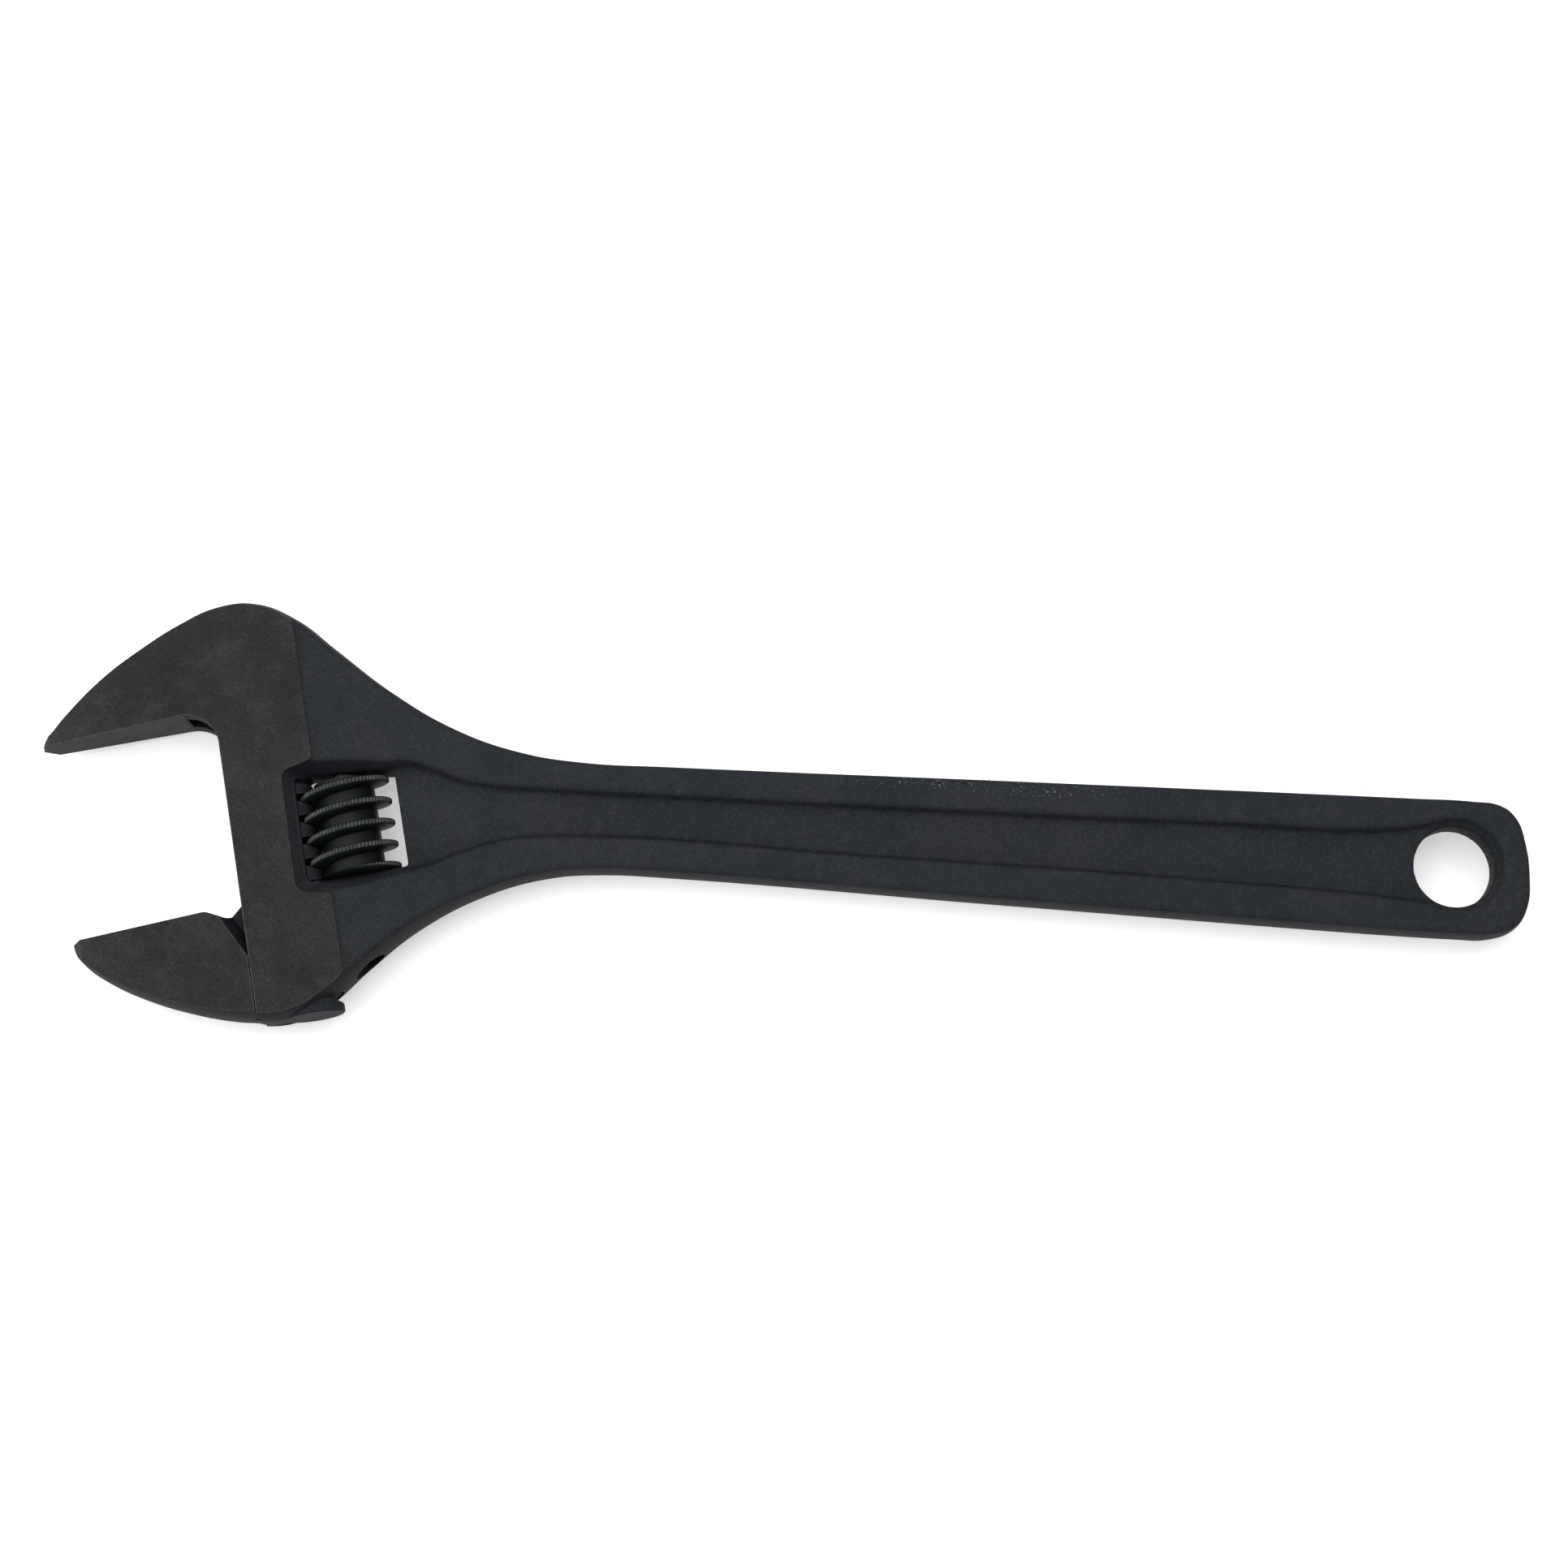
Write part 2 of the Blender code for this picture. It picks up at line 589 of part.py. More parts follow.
def make_spring(material):
    data = bpy.data.curves.new("worm_spring", "CURVE")
    data.dimensions = "3D"
    data.bevel_depth = SPRING_WIRE * MM
    data.bevel_resolution = 2
    data.use_fill_caps = True
    spline = data.splines.new("POLY")
    count = SPRING_TURNS * 16
    spline.points.add(count)
    for index in range(count + 1):
        share = index / count
        angle = 2.0 * math.pi * SPRING_TURNS * share
        height = SPRING_BOTTOM + (SPRING_TOP - SPRING_BOTTOM) * share
        place = Vector((math.cos(angle) * SPRING_RADIUS, height, -math.sin(angle) * SPRING_RADIUS)) * MM
        spline.points[index].co = (*place, 1.0)
    spring = bpy.data.objects.new("worm_spring", data)
    spring.parent = HEAD
    PARTS.objects.link(spring)
    weld = spring.modifiers.new("weld", "WELD")
    weld.merge_threshold = 0.00001
    data.materials.append(material)
    return spring


# ---- the assembly --------------------------------------------------------------------------

clear_scene()
PARTS = new_collection("adjustable_wrench")
CUTTERS = new_collection("cutters")
WRENCH = new_empty("wrench_frame", (*HOLE_FROM_MIDDLE, WORM_RADIUS), 0.0)
HEAD = new_empty("head_frame", (*WORM_FROM_HOLE, 0.0), HEAD_ANGLE, WRENCH)

make_body(new_material("forged_steel", (0.028, 0.032, 0.038), 0.55, 0.75))
make_movable_jaw(new_material("ground_steel", (0.045, 0.044, 0.040), 0.42, 0.85))
make_worm(new_material("worm_steel", (0.020, 0.026, 0.027), 0.45, 0.80))
make_pin(new_material("pin_steel", (0.030, 0.030, 0.032), 0.40, 0.85))
make_spring(new_material("spring_steel", (0.10, 0.10, 0.10), 0.35, 0.90))
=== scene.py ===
"""Looks of the adjustable wrench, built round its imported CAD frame.

Every piece is shaped here in millimetres, in the world's axes, as the real one is made: the
forged blanks are remeshed and smoothed so that their edges are soft, then the machined surfaces
are cut into them and stay crisp. The finished meshes are scaled to metres and ride on the CAD
bodies. Two helper frames place the outlines: HANDLE stands at the hanging hole, and HEAD at the
middle of the worm, with X across the throat and Y up the slide towards the fixed jaw.
"""

import json
import math

import bmesh
import bpy
import numpy as np
from mathutils import Matrix, Vector


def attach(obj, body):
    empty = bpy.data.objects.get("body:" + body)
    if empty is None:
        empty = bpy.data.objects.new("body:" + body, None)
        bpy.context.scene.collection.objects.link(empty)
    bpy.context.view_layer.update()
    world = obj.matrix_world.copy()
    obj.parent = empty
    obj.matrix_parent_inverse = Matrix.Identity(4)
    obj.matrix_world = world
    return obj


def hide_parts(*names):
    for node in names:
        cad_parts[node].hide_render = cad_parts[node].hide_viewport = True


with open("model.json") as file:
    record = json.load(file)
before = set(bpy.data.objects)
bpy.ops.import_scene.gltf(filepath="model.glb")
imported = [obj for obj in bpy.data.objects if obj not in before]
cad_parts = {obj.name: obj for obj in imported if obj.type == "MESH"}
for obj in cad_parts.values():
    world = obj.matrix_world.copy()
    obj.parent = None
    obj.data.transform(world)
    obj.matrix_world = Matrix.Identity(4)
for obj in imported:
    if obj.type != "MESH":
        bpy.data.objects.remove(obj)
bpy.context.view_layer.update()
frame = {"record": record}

METRE = 1000.0

# ---- where things are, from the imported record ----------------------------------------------

record = frame["record"]
mounts = {mount["name"]: Vector(mount["pos_m"]) * METRE for mount in record["mounts"]}
joints = {joint["name"]: joint for joint in record["behaviour"]["joints"]}
worm_joint = joints["worm_spin"]
WORM_MIDDLE = Vector(worm_joint["pos_m"]) * METRE
HEAD_ANGLE = math.atan2(-worm_joint["axis"][0], worm_joint["axis"][1])
HEAD = Matrix.Translation(WORM_MIDDLE) @ Matrix.Rotation(HEAD_ANGLE, 4, "Z")
HANDLE = Matrix.Translation(mounts["hanging_hole"])

# ---- sizes, millimetres --------------------------------------------------------------------

HEAD_HALF = 10.0             # half of the thickness over the ground sides
RIB_HALF = 6.3               # half of the thickness over the handle's ribs
WEB_HALF = 4.0
JAW_TAPER = 0.103
CROWN = 6.0
CROWN_HEIGHT = 14.0
FORGING_SPARE = 1.1          # the forged head stands this proud before its sides are ground
THROAT = -28.5               # X of the wall between the jaws
THROAT_FILLET = 9.0          # radius between that wall and the fixed face
FIXED_FACE = 28.9
MOVING_FACE = -22.2
JAW_FACE_AT = -53.5
JAW_FACE_SLOPE = math.tan(math.radians(1.85))
FIXED_TIP = -74.4
MOVING_TIP = -73.2
NOSE_SLOPE = 0.5
GROUND_EDGE = -6.2           # the ground side ends here, towards the handle
GRINDING_RUNOUT = 1.6        # the wheel passes the ground side's end by this much
NECK_STEP = 0.55             # the forged neck starts this far below the ground side
NECK_FOOT = 34.0             # and is down to the ribs here
WALL_LEAN = 0.66             # the sunk panel's walls lean out this much per mm of height
HANG_HOLE_RADIUS = 10.35
ROD_CENTRE = -15.5           # X of the toothed rod and its bore
ROD_RADIUS = 7.6
ROD_TOP = 7.7                # the rod's end towards the fixed jaw, at rest
HEEL = -51.4                 # the other end of the rod and of the web
WEB_TOP = -20.1
WEB_SLOT_HALF = 4.1          # half of the width of the slot that the web runs in
SLOT_TOP = 31.2
SLOT_END = -36.4
GAP = 0.3                    # running clearance
LEAD = 5.65                  # the jaw's travel for one turn of the worm
WORM_RADIUS = 11.55
WORM_ROOT_RADIUS = 7.6
WORM_TOP = 6.9
WORM_BOTTOM = -17.8
THREAD_CREST = 1.35          # width of the thread at its crest
THREAD_SLOPE = 0.22          # a flank runs out this much per mm of depth
THREAD_PHASE = 0.35          # height of the crest where a turn starts
TOOTH_GAP = 0.2              # clearance on each flank of a rod tooth
SERRATIONS = 72              # axial grooves round the worm's crest
SERRATION_DEPTH = 0.38
PIN_RADIUS = 2.5
PIN_TOP = 19.0
SCREW_RADIUS = 3.65
SCREW_TOP = -23.5
SCREW_BOTTOM = -35.5
SPRING_RADIUS = 3.7
SPRING_WIRE = 0.4
SPRING_BOTTOM = 1.6
SPRING_TOP = 7.9
SPRING_TURNS = 5
SPRING_POCKET_RADIUS = 4.8
SPOT_FACE = 8.7              # upper end of the spring's seat in the body

BODY_OUTLINE = [
    (-362.6, 2.0), (-362.1, 7.5), (-361.0, 10.1), (-358.9, 12.3), (-355.8, 16.9), (-347.0, 27.7),
    (-337.8, 36.1), (-328.7, 43.1), (-319.1, 48.5), (-309.0, 50.1), (-298.4, 46.6), (-287.8, 39.4),
    (-272.8, 29.2), (-255.5, 20.3), (-238.4, 15.3), (-222.0, 13.6), (-200.0, 13.8),
    (-110.0, 15.5), (-10.0, 17.2), (4.0, 17.3), (11.6, 16.5), (15.6, 13.2), (17.9, 7.0),
    (19.1, -2.5), (18.5, -9.8), (15.8, -14.7), (10.5, -17.1), (2.0, -17.6), (-110.0, -15.9),
    (-200.0, -14.0), (-215.0, -14.2), (-228.9, -15.9), (-245.2, -21.6), (-261.1, -31.4),
    (-272.8, -42.3), (-281.0, -51.0), (-288.3, -56.0), (-297.0, -58.1), (-312.0, -56.0, True),
    (-330.0, 2.0, True),
]
PANEL_OUTLINE = [
    (-272.0, 2.0), (-270.0, 7.6), (-262.0, 8.2), (-254.0, 5.8), (-244.0, 4.7), (-228.0, 4.6),
    (-150.0, 5.2), (-60.0, 6.4), (-14.0, 7.7), (-5.0, 9.8), (0.5, 11.0), (7.6, 8.0), (11.0, 0.0),
    (8.2, -7.2), (1.5, -10.4), (-8.0, -9.0), (-60.0, -6.8), (-150.0, -5.7), (-226.0, -5.3),
    (-241.0, -7.3), (-252.0, -11.2), (-259.0, -14.2), (-264.5, -15.4), (-268.5, -11.0),
]
RECESS_FLOOR = [
    (-8.9, 8.6, 0.8), (-6.2, 8.8, 0.8), (18.0, 5.95, 0.0), (18.0, -17.9, 0.0),
    (-4.0, -18.0, 1.5), (-8.9, -18.0, 1.5),
]
RECESS_RIM = [
    (-14.3, 10.4, 2.5), (-5.6, 12.4, 2.0), (18.0, 9.7, 0.0), (18.0, -21.3, 0.0),
    (-5.0, -22.8, 3.0), (-14.6, -21.2, 3.0),
]
WINDOW_OUTLINE = [
    (-9.8, 7.9, 0.6), (-8.1, 9.2, 0.6), (13.6, 7.3, 0.8), (13.6, -18.1, 0.8), (-9.8, -18.1, 0.4),
]
HOOK_OUTLINE = [
    (-72.9, -19.0), (-66.0, -13.0), (-24.0, -13.0, True), (-24.0, -51.2, True), (-31.0, -50.1),
    (-37.3, -48.5), (-46.8, -44.9), (-56.2, -40.2), (-65.4, -34.0), (-70.6, -28.9), (-73.0, -24.3),
]


# ---- mesh tools ----------------------------------------------------------------------------


def raw_object(name, bm, place):
    """A mesh in world millimetres, still being worked on."""
    bmesh.ops.recalc_face_normals(bm, faces=bm.faces)
    bm.transform(place)
    mesh = bpy.data.meshes.new(name)
    bm.to_mesh(mesh)
    bm.free()
    obj = bpy.data.objects.new(name, mesh)
    bpy.context.scene.collection.objects.link(obj)
    return obj


def settle(obj):
    """Applies the object's modifiers and removes the tools that they used."""
    bpy.context.view_layer.update()
    tools = [m.object for m in obj.modifiers if m.type == "BOOLEAN"]
    graph = bpy.context.evaluated_depsgraph_get()
    mesh = bpy.data.meshes.new_from_object(obj.evaluated_get(graph))
    obj.modifiers.clear()
    obj.data = mesh
    for tool in tools:
        bpy.data.objects.remove(tool, do_unlink=True)


def cut(target, tool, operation="DIFFERENCE"):
    modifier = target.modifiers.new(tool.name, "BOOLEAN")
    modifier.operation = operation
    modifier.solver = "MANIFOLD"
    modifier.object = tool


def forge(obj, voxel, rounds, keep):
    """Turns a sharp blank into a soft-edged forging, keeping that share of its triangles."""
    remesh = obj.modifiers.new("grain", "REMESH")
    remesh.mode = "VOXEL"
    remesh.voxel_size = voxel
    remesh.use_smooth_shade = True
    soften = obj.modifiers.new("soften", "SMOOTH")
    soften.factor = 0.5
    soften.iterations = rounds
    thin = obj.modifiers.new("thin", "DECIMATE")
    thin.ratio = keep
    settle(obj)


def smooth_outline(points, steps=6):
    """A closed Bezier curve through the points; a third value of True marks a sharp corner."""
    data = bpy.data.curves.new("outline", "CURVE")
    data.dimensions = "2D"
    data.fill_mode = "NONE"
    data.resolution_u = steps
    spline = data.splines.new("BEZIER")
    spline.bezier_points.add(len(points) - 1)
    spline.use_cyclic_u = True
    for knot, point in zip(spline.bezier_points, points):
        knot.co = (point[0], point[1], 0.0)
        kind = "VECTOR" if len(point) == 3 else "AUTO"
        knot.handle_left_type = kind
        knot.handle_right_type = kind
    obj = bpy.data.objects.new("outline", data)
    bpy.context.scene.collection.objects.link(obj)
    bpy.context.view_layer.update()
    graph = bpy.context.evaluated_depsgraph_get()
    mesh = bpy.data.meshes.new_from_object(obj.evaluated_get(graph))
    outline = [Vector((v.co.x, v.co.y)) for v in mesh.vertices]
    bpy.data.objects.remove(obj, do_unlink=True)
    return outline


def rounded_outline(points, steps=8):
    """A polygon whose corners, written (x, y, radius), are rounded with arcs."""
    outline = []
    count = len(points)
    for index, (x, y, radius) in enumerate(points):
        corner = Vector((x, y))
        before = (Vector(points[index - 1][:2]) - corner).normalized()
        after = (Vector(points[(index + 1) % count][:2]) - corner).normalized()
        if radius == 0.0:
            outline.append(corner)
            continue
        half_angle = before.angle(after) / 2.0
        centre = corner + (before + after).normalized() * radius / math.sin(half_angle)
        start = corner + before * radius / math.tan(half_angle) - centre
        end = corner + after * radius / math.tan(half_angle) - centre
        sweep = start.angle_signed(end)
        for step in range(steps + 1):
            spoke = start.copy()
            spoke.rotate(Matrix.Rotation(-sweep * step / steps, 2))
            outline.append(centre + spoke)
    return outline


def inset_outline(outline, distance):
    """Moves each point inwards by the distance, or outwards if it is negative."""
    count = len(outline)
    area = sum(a.x * b.y - b.x * a.y for a, b in zip(outline, outline[1:] + outline[:1]))
    side = 1.0 if area > 0.0 else -1.0
    moved = []
    for index, point in enumerate(outline):
        before = (point - outline[index - 1]).normalized()
        after = (outline[(index + 1) % count] - point).normalized()
        normal_before = Vector((-before.y, before.x)) * side
        normal_after = Vector((-after.y, after.x)) * side
        bisector = (normal_before + normal_after).normalized()
        moved.append(point + bisector * distance / max(bisector.dot(normal_after), 0.5))
    return moved


def loft(name, sections, place):
    """A closed solid through the sections, each a (height, outline)."""
    bm = bmesh.new()
    rings = [[bm.verts.new((p[0], p[1], height)) for p in outline] for height, outline in sections]
    count = len(rings[0])
    for lower, upper in zip(rings, rings[1:]):
        for index in range(count):
            following = (index + 1) % count
            bm.faces.new((lower[index], lower[following], upper[following], upper[index]))
    bm.faces.new(list(reversed(rings[0])))
    bm.faces.new(rings[-1])
    return raw_object(name, bm, place)


def plate(name, outline, low, high, place):
    return loft(name, [(low, outline), (high, outline)], place)


def crowned_plate(name, outline, half, place):
    """A plate whose edge bulges as an ellipse."""
    sections = []
    for share in np.linspace(-1.0, 1.0, 15):
        height = half * float(share)
        inset = CROWN * (1.0 - math.sqrt(1.0 - (height / CROWN_HEIGHT) ** 2))
        sections.append((height, inset_outline(outline, inset)))
    return loft(name, sections, place)


# Turns a profile drawn in X and Z into a section that loft() can run along Y.
ALONG_SLIDE = Matrix.Rotation(math.pi / 2, 4, "X")


def side_prism(name, profile, low, high, place):
    """A prism whose profile lies in X and Z, running along Y from low to high."""
    return loft(name, [(-high, profile), (-low, profile)], place @ ALONG_SLIDE)


def both_sides(target, name, profile, low, high, place):
    for label, sign in (("upper", 1.0), ("lower", -1.0)):
        mirrored = [(x, z * sign) for x, z in profile]
        cut(target, side_prism(f"{name}_{label}", mirrored, low, high, place))


def turned(name, profile, across, segments=96):
    """A solid of revolution about the slide's direction, from (radius, height) points."""
    bm = bmesh.new()
    rings = []
    for radius, height in profile:
        if radius == 0.0:
            rings.append([bm.verts.new((across, height, 0.0))])
            continue
        ring = []
        for step in range(segments):
            angle = 2.0 * math.pi * step / segments
            ring.append(bm.verts.new((across + radius * math.cos(angle), height, -radius * math.sin(angle))))
        rings.append(ring)
    for lower, upper in zip(rings, rings[1:]):
        for step in range(segments):
            following = (step + 1) % segments
            corners = [lower[step % len(lower)], lower[following % len(lower)],
                       upper[following % len(upper)], upper[step % len(upper)]]
            bm.faces.new(list(dict.fromkeys(corners)))
    return raw_object(name, bm, HEAD)


def rod(name, radius, low, high, across, segments=96, bevel=0.0):
    """A round bar along the slide, its ends chamfered by the bevel."""
    wall = [(radius, low), (radius, high)]
    if bevel:
        neck = radius - bevel
        wall = [(neck, low), (radius, low + bevel), (radius, high - bevel), (neck, high)]
    return turned(name, [(0.0, low), *wall, (0.0, high)], across, segments)


def disc(radius, segments=128):
    """A circle's outline."""
    angles = [2.0 * math.pi * step / segments for step in range(segments)]
    return [(radius * math.cos(a), radius * math.sin(a)) for a in angles]


def face_height(base, across):
    return base + (across - JAW_FACE_AT) * JAW_FACE_SLOPE


# ---- the forged body -----------------------------------------------------------------------


def neck_profile():
    """The forged neck falls from the head to the ribs along a half cosine."""
    start, end = HEAD_HALF - NECK_STEP, RIB_HALF
    proud = HEAD_HALF + FORGING_SPARE + 1.0
    fall = NECK_FOOT - GROUND_EDGE
    profile = [(GROUND_EDGE - 1.2, proud + 6.0), (GROUND_EDGE - 1.2, proud)]
    for step in range(25):
        share = step / 24
        height = end + (start - end) * (1.0 + math.cos(math.pi * share)) / 2.0
        profile.append((GROUND_EDGE + 0.5 + fall * share, height))
    profile += [(330.0, end), (330.0, proud + 6.0)]
    return profile


def jaw_taper_profile(half):
    """What is ground away where a jaw thins towards its tip."""
    reach = 70.0
    return [(THROAT, half), (THROAT - reach, half - JAW_TAPER * reach),
            (THROAT - reach, half + 9.0), (THROAT, half + 9.0)]


def ground_side_profile(half):
    """What is ground away above a flat side of the head."""
    end = GROUND_EDGE + GRINDING_RUNOUT
    return [(-100.0, half), (end, half), (end, half + 9.0), (-100.0, half + 9.0)]


def nose_profile(tip):
    """What is cut from a jaw's tip to leave a blunt wedge."""
    half = 12.0
    back = tip + half * NOSE_SLOPE
    far = tip - 30.0
    return [(tip, 0.0), (back, half), (far, half), (far, -half), (back, -half)]


def mouth_outline():
    """The space between the jaws: the fixed face, the filleted corner and the throat wall."""
    far = -100.0
    return rounded_outline([
        (far, face_height(FIXED_FACE, far), 0.0),
        (THROAT, face_height(FIXED_FACE, THROAT), THROAT_FILLET),
        (THROAT, -70.0, 0.0),
        (far, -70.0, 0.0),
    ], steps=16)


def sunk_fields(body):
    """The panel between the ribs and the field round the window, on each side."""
    panel = smooth_outline(PANEL_OUTLINE, steps=8)
    floor = rounded_outline(RECESS_FLOOR)
    rim = rounded_outline(RECESS_RIM)
    rise = HEAD_HALF - WEB_HALF
    beyond = [high + (high - low) * 0.5 for low, high in zip(floor, rim)]
    for label, sign in (("upper", 1.0), ("lower", -1.0)):
        top = HEAD_HALF + rise * 0.5
        walls = inset_outline(panel, -WALL_LEAN * (top - WEB_HALF))
        cut(body, loft(f"panel_{label}", [(WEB_HALF * sign, panel), (top * sign, walls)], HANDLE))
        sections = [(WEB_HALF * sign, floor), (HEAD_HALF * sign, rim), (top * sign, beyond)]
        cut(body, loft(f"recess_{label}", sections, HEAD))


def make_body():
    """The forging with its sunk fields, then every ground and bored surface."""
    outline = smooth_outline(BODY_OUTLINE, steps=10)
    body = crowned_plate("wrench_body_forging", outline, HEAD_HALF + FORGING_SPARE, HANDLE)
    both_sides(body, "neck", neck_profile(), -160.0, 160.0, HEAD)
    sunk_fields(body)
    window = rounded_outline(WINDOW_OUTLINE)
    cut(body, plate("window_punch", inset_outline(window, 0.12), -20.0, 20.0, HEAD))
    cut(body, plate("hole_punch", disc(HANG_HOLE_RADIUS - 0.05), -20.0, 20.0, HANDLE))
    settle(body)
    forge(body, voxel=0.62, rounds=7, keep=0.5)
    both_sides(body, "grind", ground_side_profile(HEAD_HALF), -90.0, 90.0, HEAD)
    both_sides(body, "taper", jaw_taper_profile(HEAD_HALF), 10.0, 90.0, HEAD)
    cut(body, side_prism("nose", nose_profile(FIXED_TIP), 10.0, 60.0, HEAD))
    cut(body, plate("mouth", mouth_outline(), -20.0, 20.0, HEAD))
    cut(body, plate("window", window, -20.0, 20.0, HEAD))
    cut(body, plate("hang_hole", disc(HANG_HOLE_RADIUS), -20.0, 20.0, HANDLE))
    settle(body)
    cut(body, rod("rod_bore", ROD_RADIUS + GAP, -80.0, 80.0, ROD_CENTRE, 128))
    slot_outline = rounded_outline([
        (SLOT_END, SLOT_TOP, 2.0), (ROD_CENTRE, SLOT_TOP, 0.0), (ROD_CENTRE, -80.0, 0.0),
        (SLOT_END, -80.0, 0.0),
    ])
    cut(body, plate("web_slot", slot_outline, -WEB_SLOT_HALF, WEB_SLOT_HALF, HEAD))
    cut(body, rod("pin_bore", PIN_RADIUS + GAP, SCREW_BOTTOM, PIN_TOP + GAP, 0.0))
    cut(body, rod("screw_bore", SCREW_RADIUS + GAP, -70.0, SCREW_TOP + GAP, 0.0))
    cut(body, rod("spring_seat", SPRING_POCKET_RADIUS + 0.4, 0.0, SPOT_FACE, 0.0))
    settle(body)
    return body


# ---- the movable jaw -----------------------------------------------------------------------


def jaw_top_outline():
    """Everything above the movable jaw: its face, the rounded corner and the web's hollow."""
    far = -100.0
    return rounded_outline([
        (far, face_height(MOVING_FACE, far), 0.0),
        (-38.0, face_height(MOVING_FACE, -38.0), 3.5),
        (-33.0, -24.2, 2.0),
        (THROAT, WEB_TOP, 0.0),
        (ROD_CENTRE + 10.0, WEB_TOP, 0.0),
        (ROD_CENTRE + 10.0, 40.0, 0.0),
        (far, 40.0, 0.0),
    ], steps=10)


def make_jaw():
    """The hook is forged and then ground, and the web and the toothed rod are joined to it."""
    sides = HEAD_HALF - 0.1
    web_half = WEB_SLOT_HALF - GAP
    jaw = crowned_plate("movable_jaw_forging", smooth_outline(HOOK_OUTLINE, steps=10),
                        sides + FORGING_SPARE, HEAD)
    settle(jaw)
    forge(jaw, voxel=0.5, rounds=5, keep=0.6)
    both_sides(jaw, "grind", ground_side_profile(sides), -80.0, 10.0, HEAD)
    both_sides(jaw, "taper", jaw_taper_profile(sides), -80.0, 10.0, HEAD)
    cut(jaw, side_prism("nose", nose_profile(MOVING_TIP), -80.0, 10.0, HEAD))
    back = [(THROAT - GAP, -20.0), (10.0, -20.0), (10.0, 20.0), (THROAT - GAP, 20.0)]
    cut(jaw, side_prism("jaw_back", back, -80.0, 10.0, HEAD))
    corner = [Vector(point) for point in ((-41.2, -10.0), (-26.4, -37.3), (-14.0, -37.3), (-14.0, -10.0))]
    for label, sign in (("upper", 1.0), ("lower", -1.0)):
        sections = [((web_half - 0.6) * sign, inset_outline(corner, 1.85)),
                    ((web_half + 9.0) * sign, inset_outline(corner, -2.2))]
        cut(jaw, loft(f"corner_{label}", sections, HEAD))
    settle(jaw)
    web = rounded_outline([
        (-42.0, -14.0, 0.0), (ROD_CENTRE, -14.0, 0.0), (ROD_CENTRE, HEEL, 0.0), (-27.0, HEEL, 4.0),
        (-42.0, -45.0, 0.0),
    ])
    cut(jaw, plate("web", web, -web_half, web_half, HEAD), "UNION")
    cut(jaw, plate("jaw_top", jaw_top_outline(), -20.0, 20.0, HEAD))
    cut(jaw, rod("toothed_rod", ROD_RADIUS, HEEL, ROD_TOP, ROD_CENTRE, 128, bevel=0.35), "UNION")
    settle(jaw)
    cut_rod_teeth(jaw)
    settle(jaw)
    return jaw


def cut_rod_teeth(jaw):
    """Cuts the gaps between the rod's teeth, each leaning with the worm's thread."""
    lean = LEAD / (math.pi * (WORM_RADIUS + WORM_ROOT_RADIUS))
    floor = -(WORM_RADIUS + GAP)
    mouth = -4.0
    floor_half = THREAD_CREST / 2.0 + TOOTH_GAP
    mouth_half = floor_half + THREAD_SLOPE * (mouth - floor)
    soft = 0.35
    section = [(floor, -floor_half + soft), (floor + soft, -floor_half), (mouth, -mouth_half),
               (mouth, mouth_half), (floor + soft, floor_half), (floor, floor_half - soft)]
    reach = ROD_RADIUS + 2.0
    first = math.ceil((HEEL - THREAD_PHASE) / LEAD)
    last = math.floor((ROD_TOP + LEAD - THREAD_PHASE) / LEAD)
    for turn in range(first, last + 1):
        middle = THREAD_PHASE + (turn - 0.5) * LEAD
        sections = []
        for z in (-reach, reach):
            sections.append((z, [(x, middle + z * lean + y) for x, y in section]))
        cut(jaw, loft(f"tooth_gap_{turn}", sections, HEAD))


# ---- worm, pin and spring ------------------------------------------------------------------


def make_thread():
    """The right-hand thread, its crest cut by axial serrations all the way round."""
    per_turn = SERRATIONS * 4
    foot = WORM_ROOT_RADIUS - 0.8
    crest = THREAD_CREST / 2.0
    first = math.floor((WORM_BOTTOM - THREAD_PHASE) / LEAD) - 1
    last = math.ceil((WORM_TOP - THREAD_PHASE) / LEAD) + 1
    steps = (last - first) * per_turn
    serration = (0.0, 0.55, 1.0, 0.55)
    bm = bmesh.new()
    rings = []
    for step in range(steps + 1):
        turn = first + step / per_turn
        angle = 2.0 * math.pi * turn
        depth = SERRATION_DEPTH * serration[step % 4]
        top = WORM_RADIUS - depth
        shoulder = WORM_RADIUS - 0.32 - depth * 0.75
        neck = WORM_RADIUS - 0.9
        section = [
            (foot, -crest - THREAD_SLOPE * (WORM_RADIUS - foot)),
            (neck, -crest - THREAD_SLOPE * (WORM_RADIUS - neck)),
            (shoulder, -crest - 0.02), (top, -crest + 0.26), (top, crest - 0.26),
            (shoulder, crest + 0.02), (neck, crest + THREAD_SLOPE * (WORM_RADIUS - neck)),
            (foot, crest + THREAD_SLOPE * (WORM_RADIUS - foot)),
        ]
        height = THREAD_PHASE + LEAD * turn
        rings.append([bm.verts.new((r * math.cos(angle), height + y, -r * math.sin(angle)))
                      for r, y in section])
    count = len(rings[0])
    for lower, upper in zip(rings, rings[1:]):
        for index in range(count):
            following = (index + 1) % count
            bm.faces.new((lower[index], lower[following], upper[following], upper[index]))
    bm.faces.new(rings[0])
    bm.faces.new(rings[-1])
    return raw_object("thread", bm, HEAD)


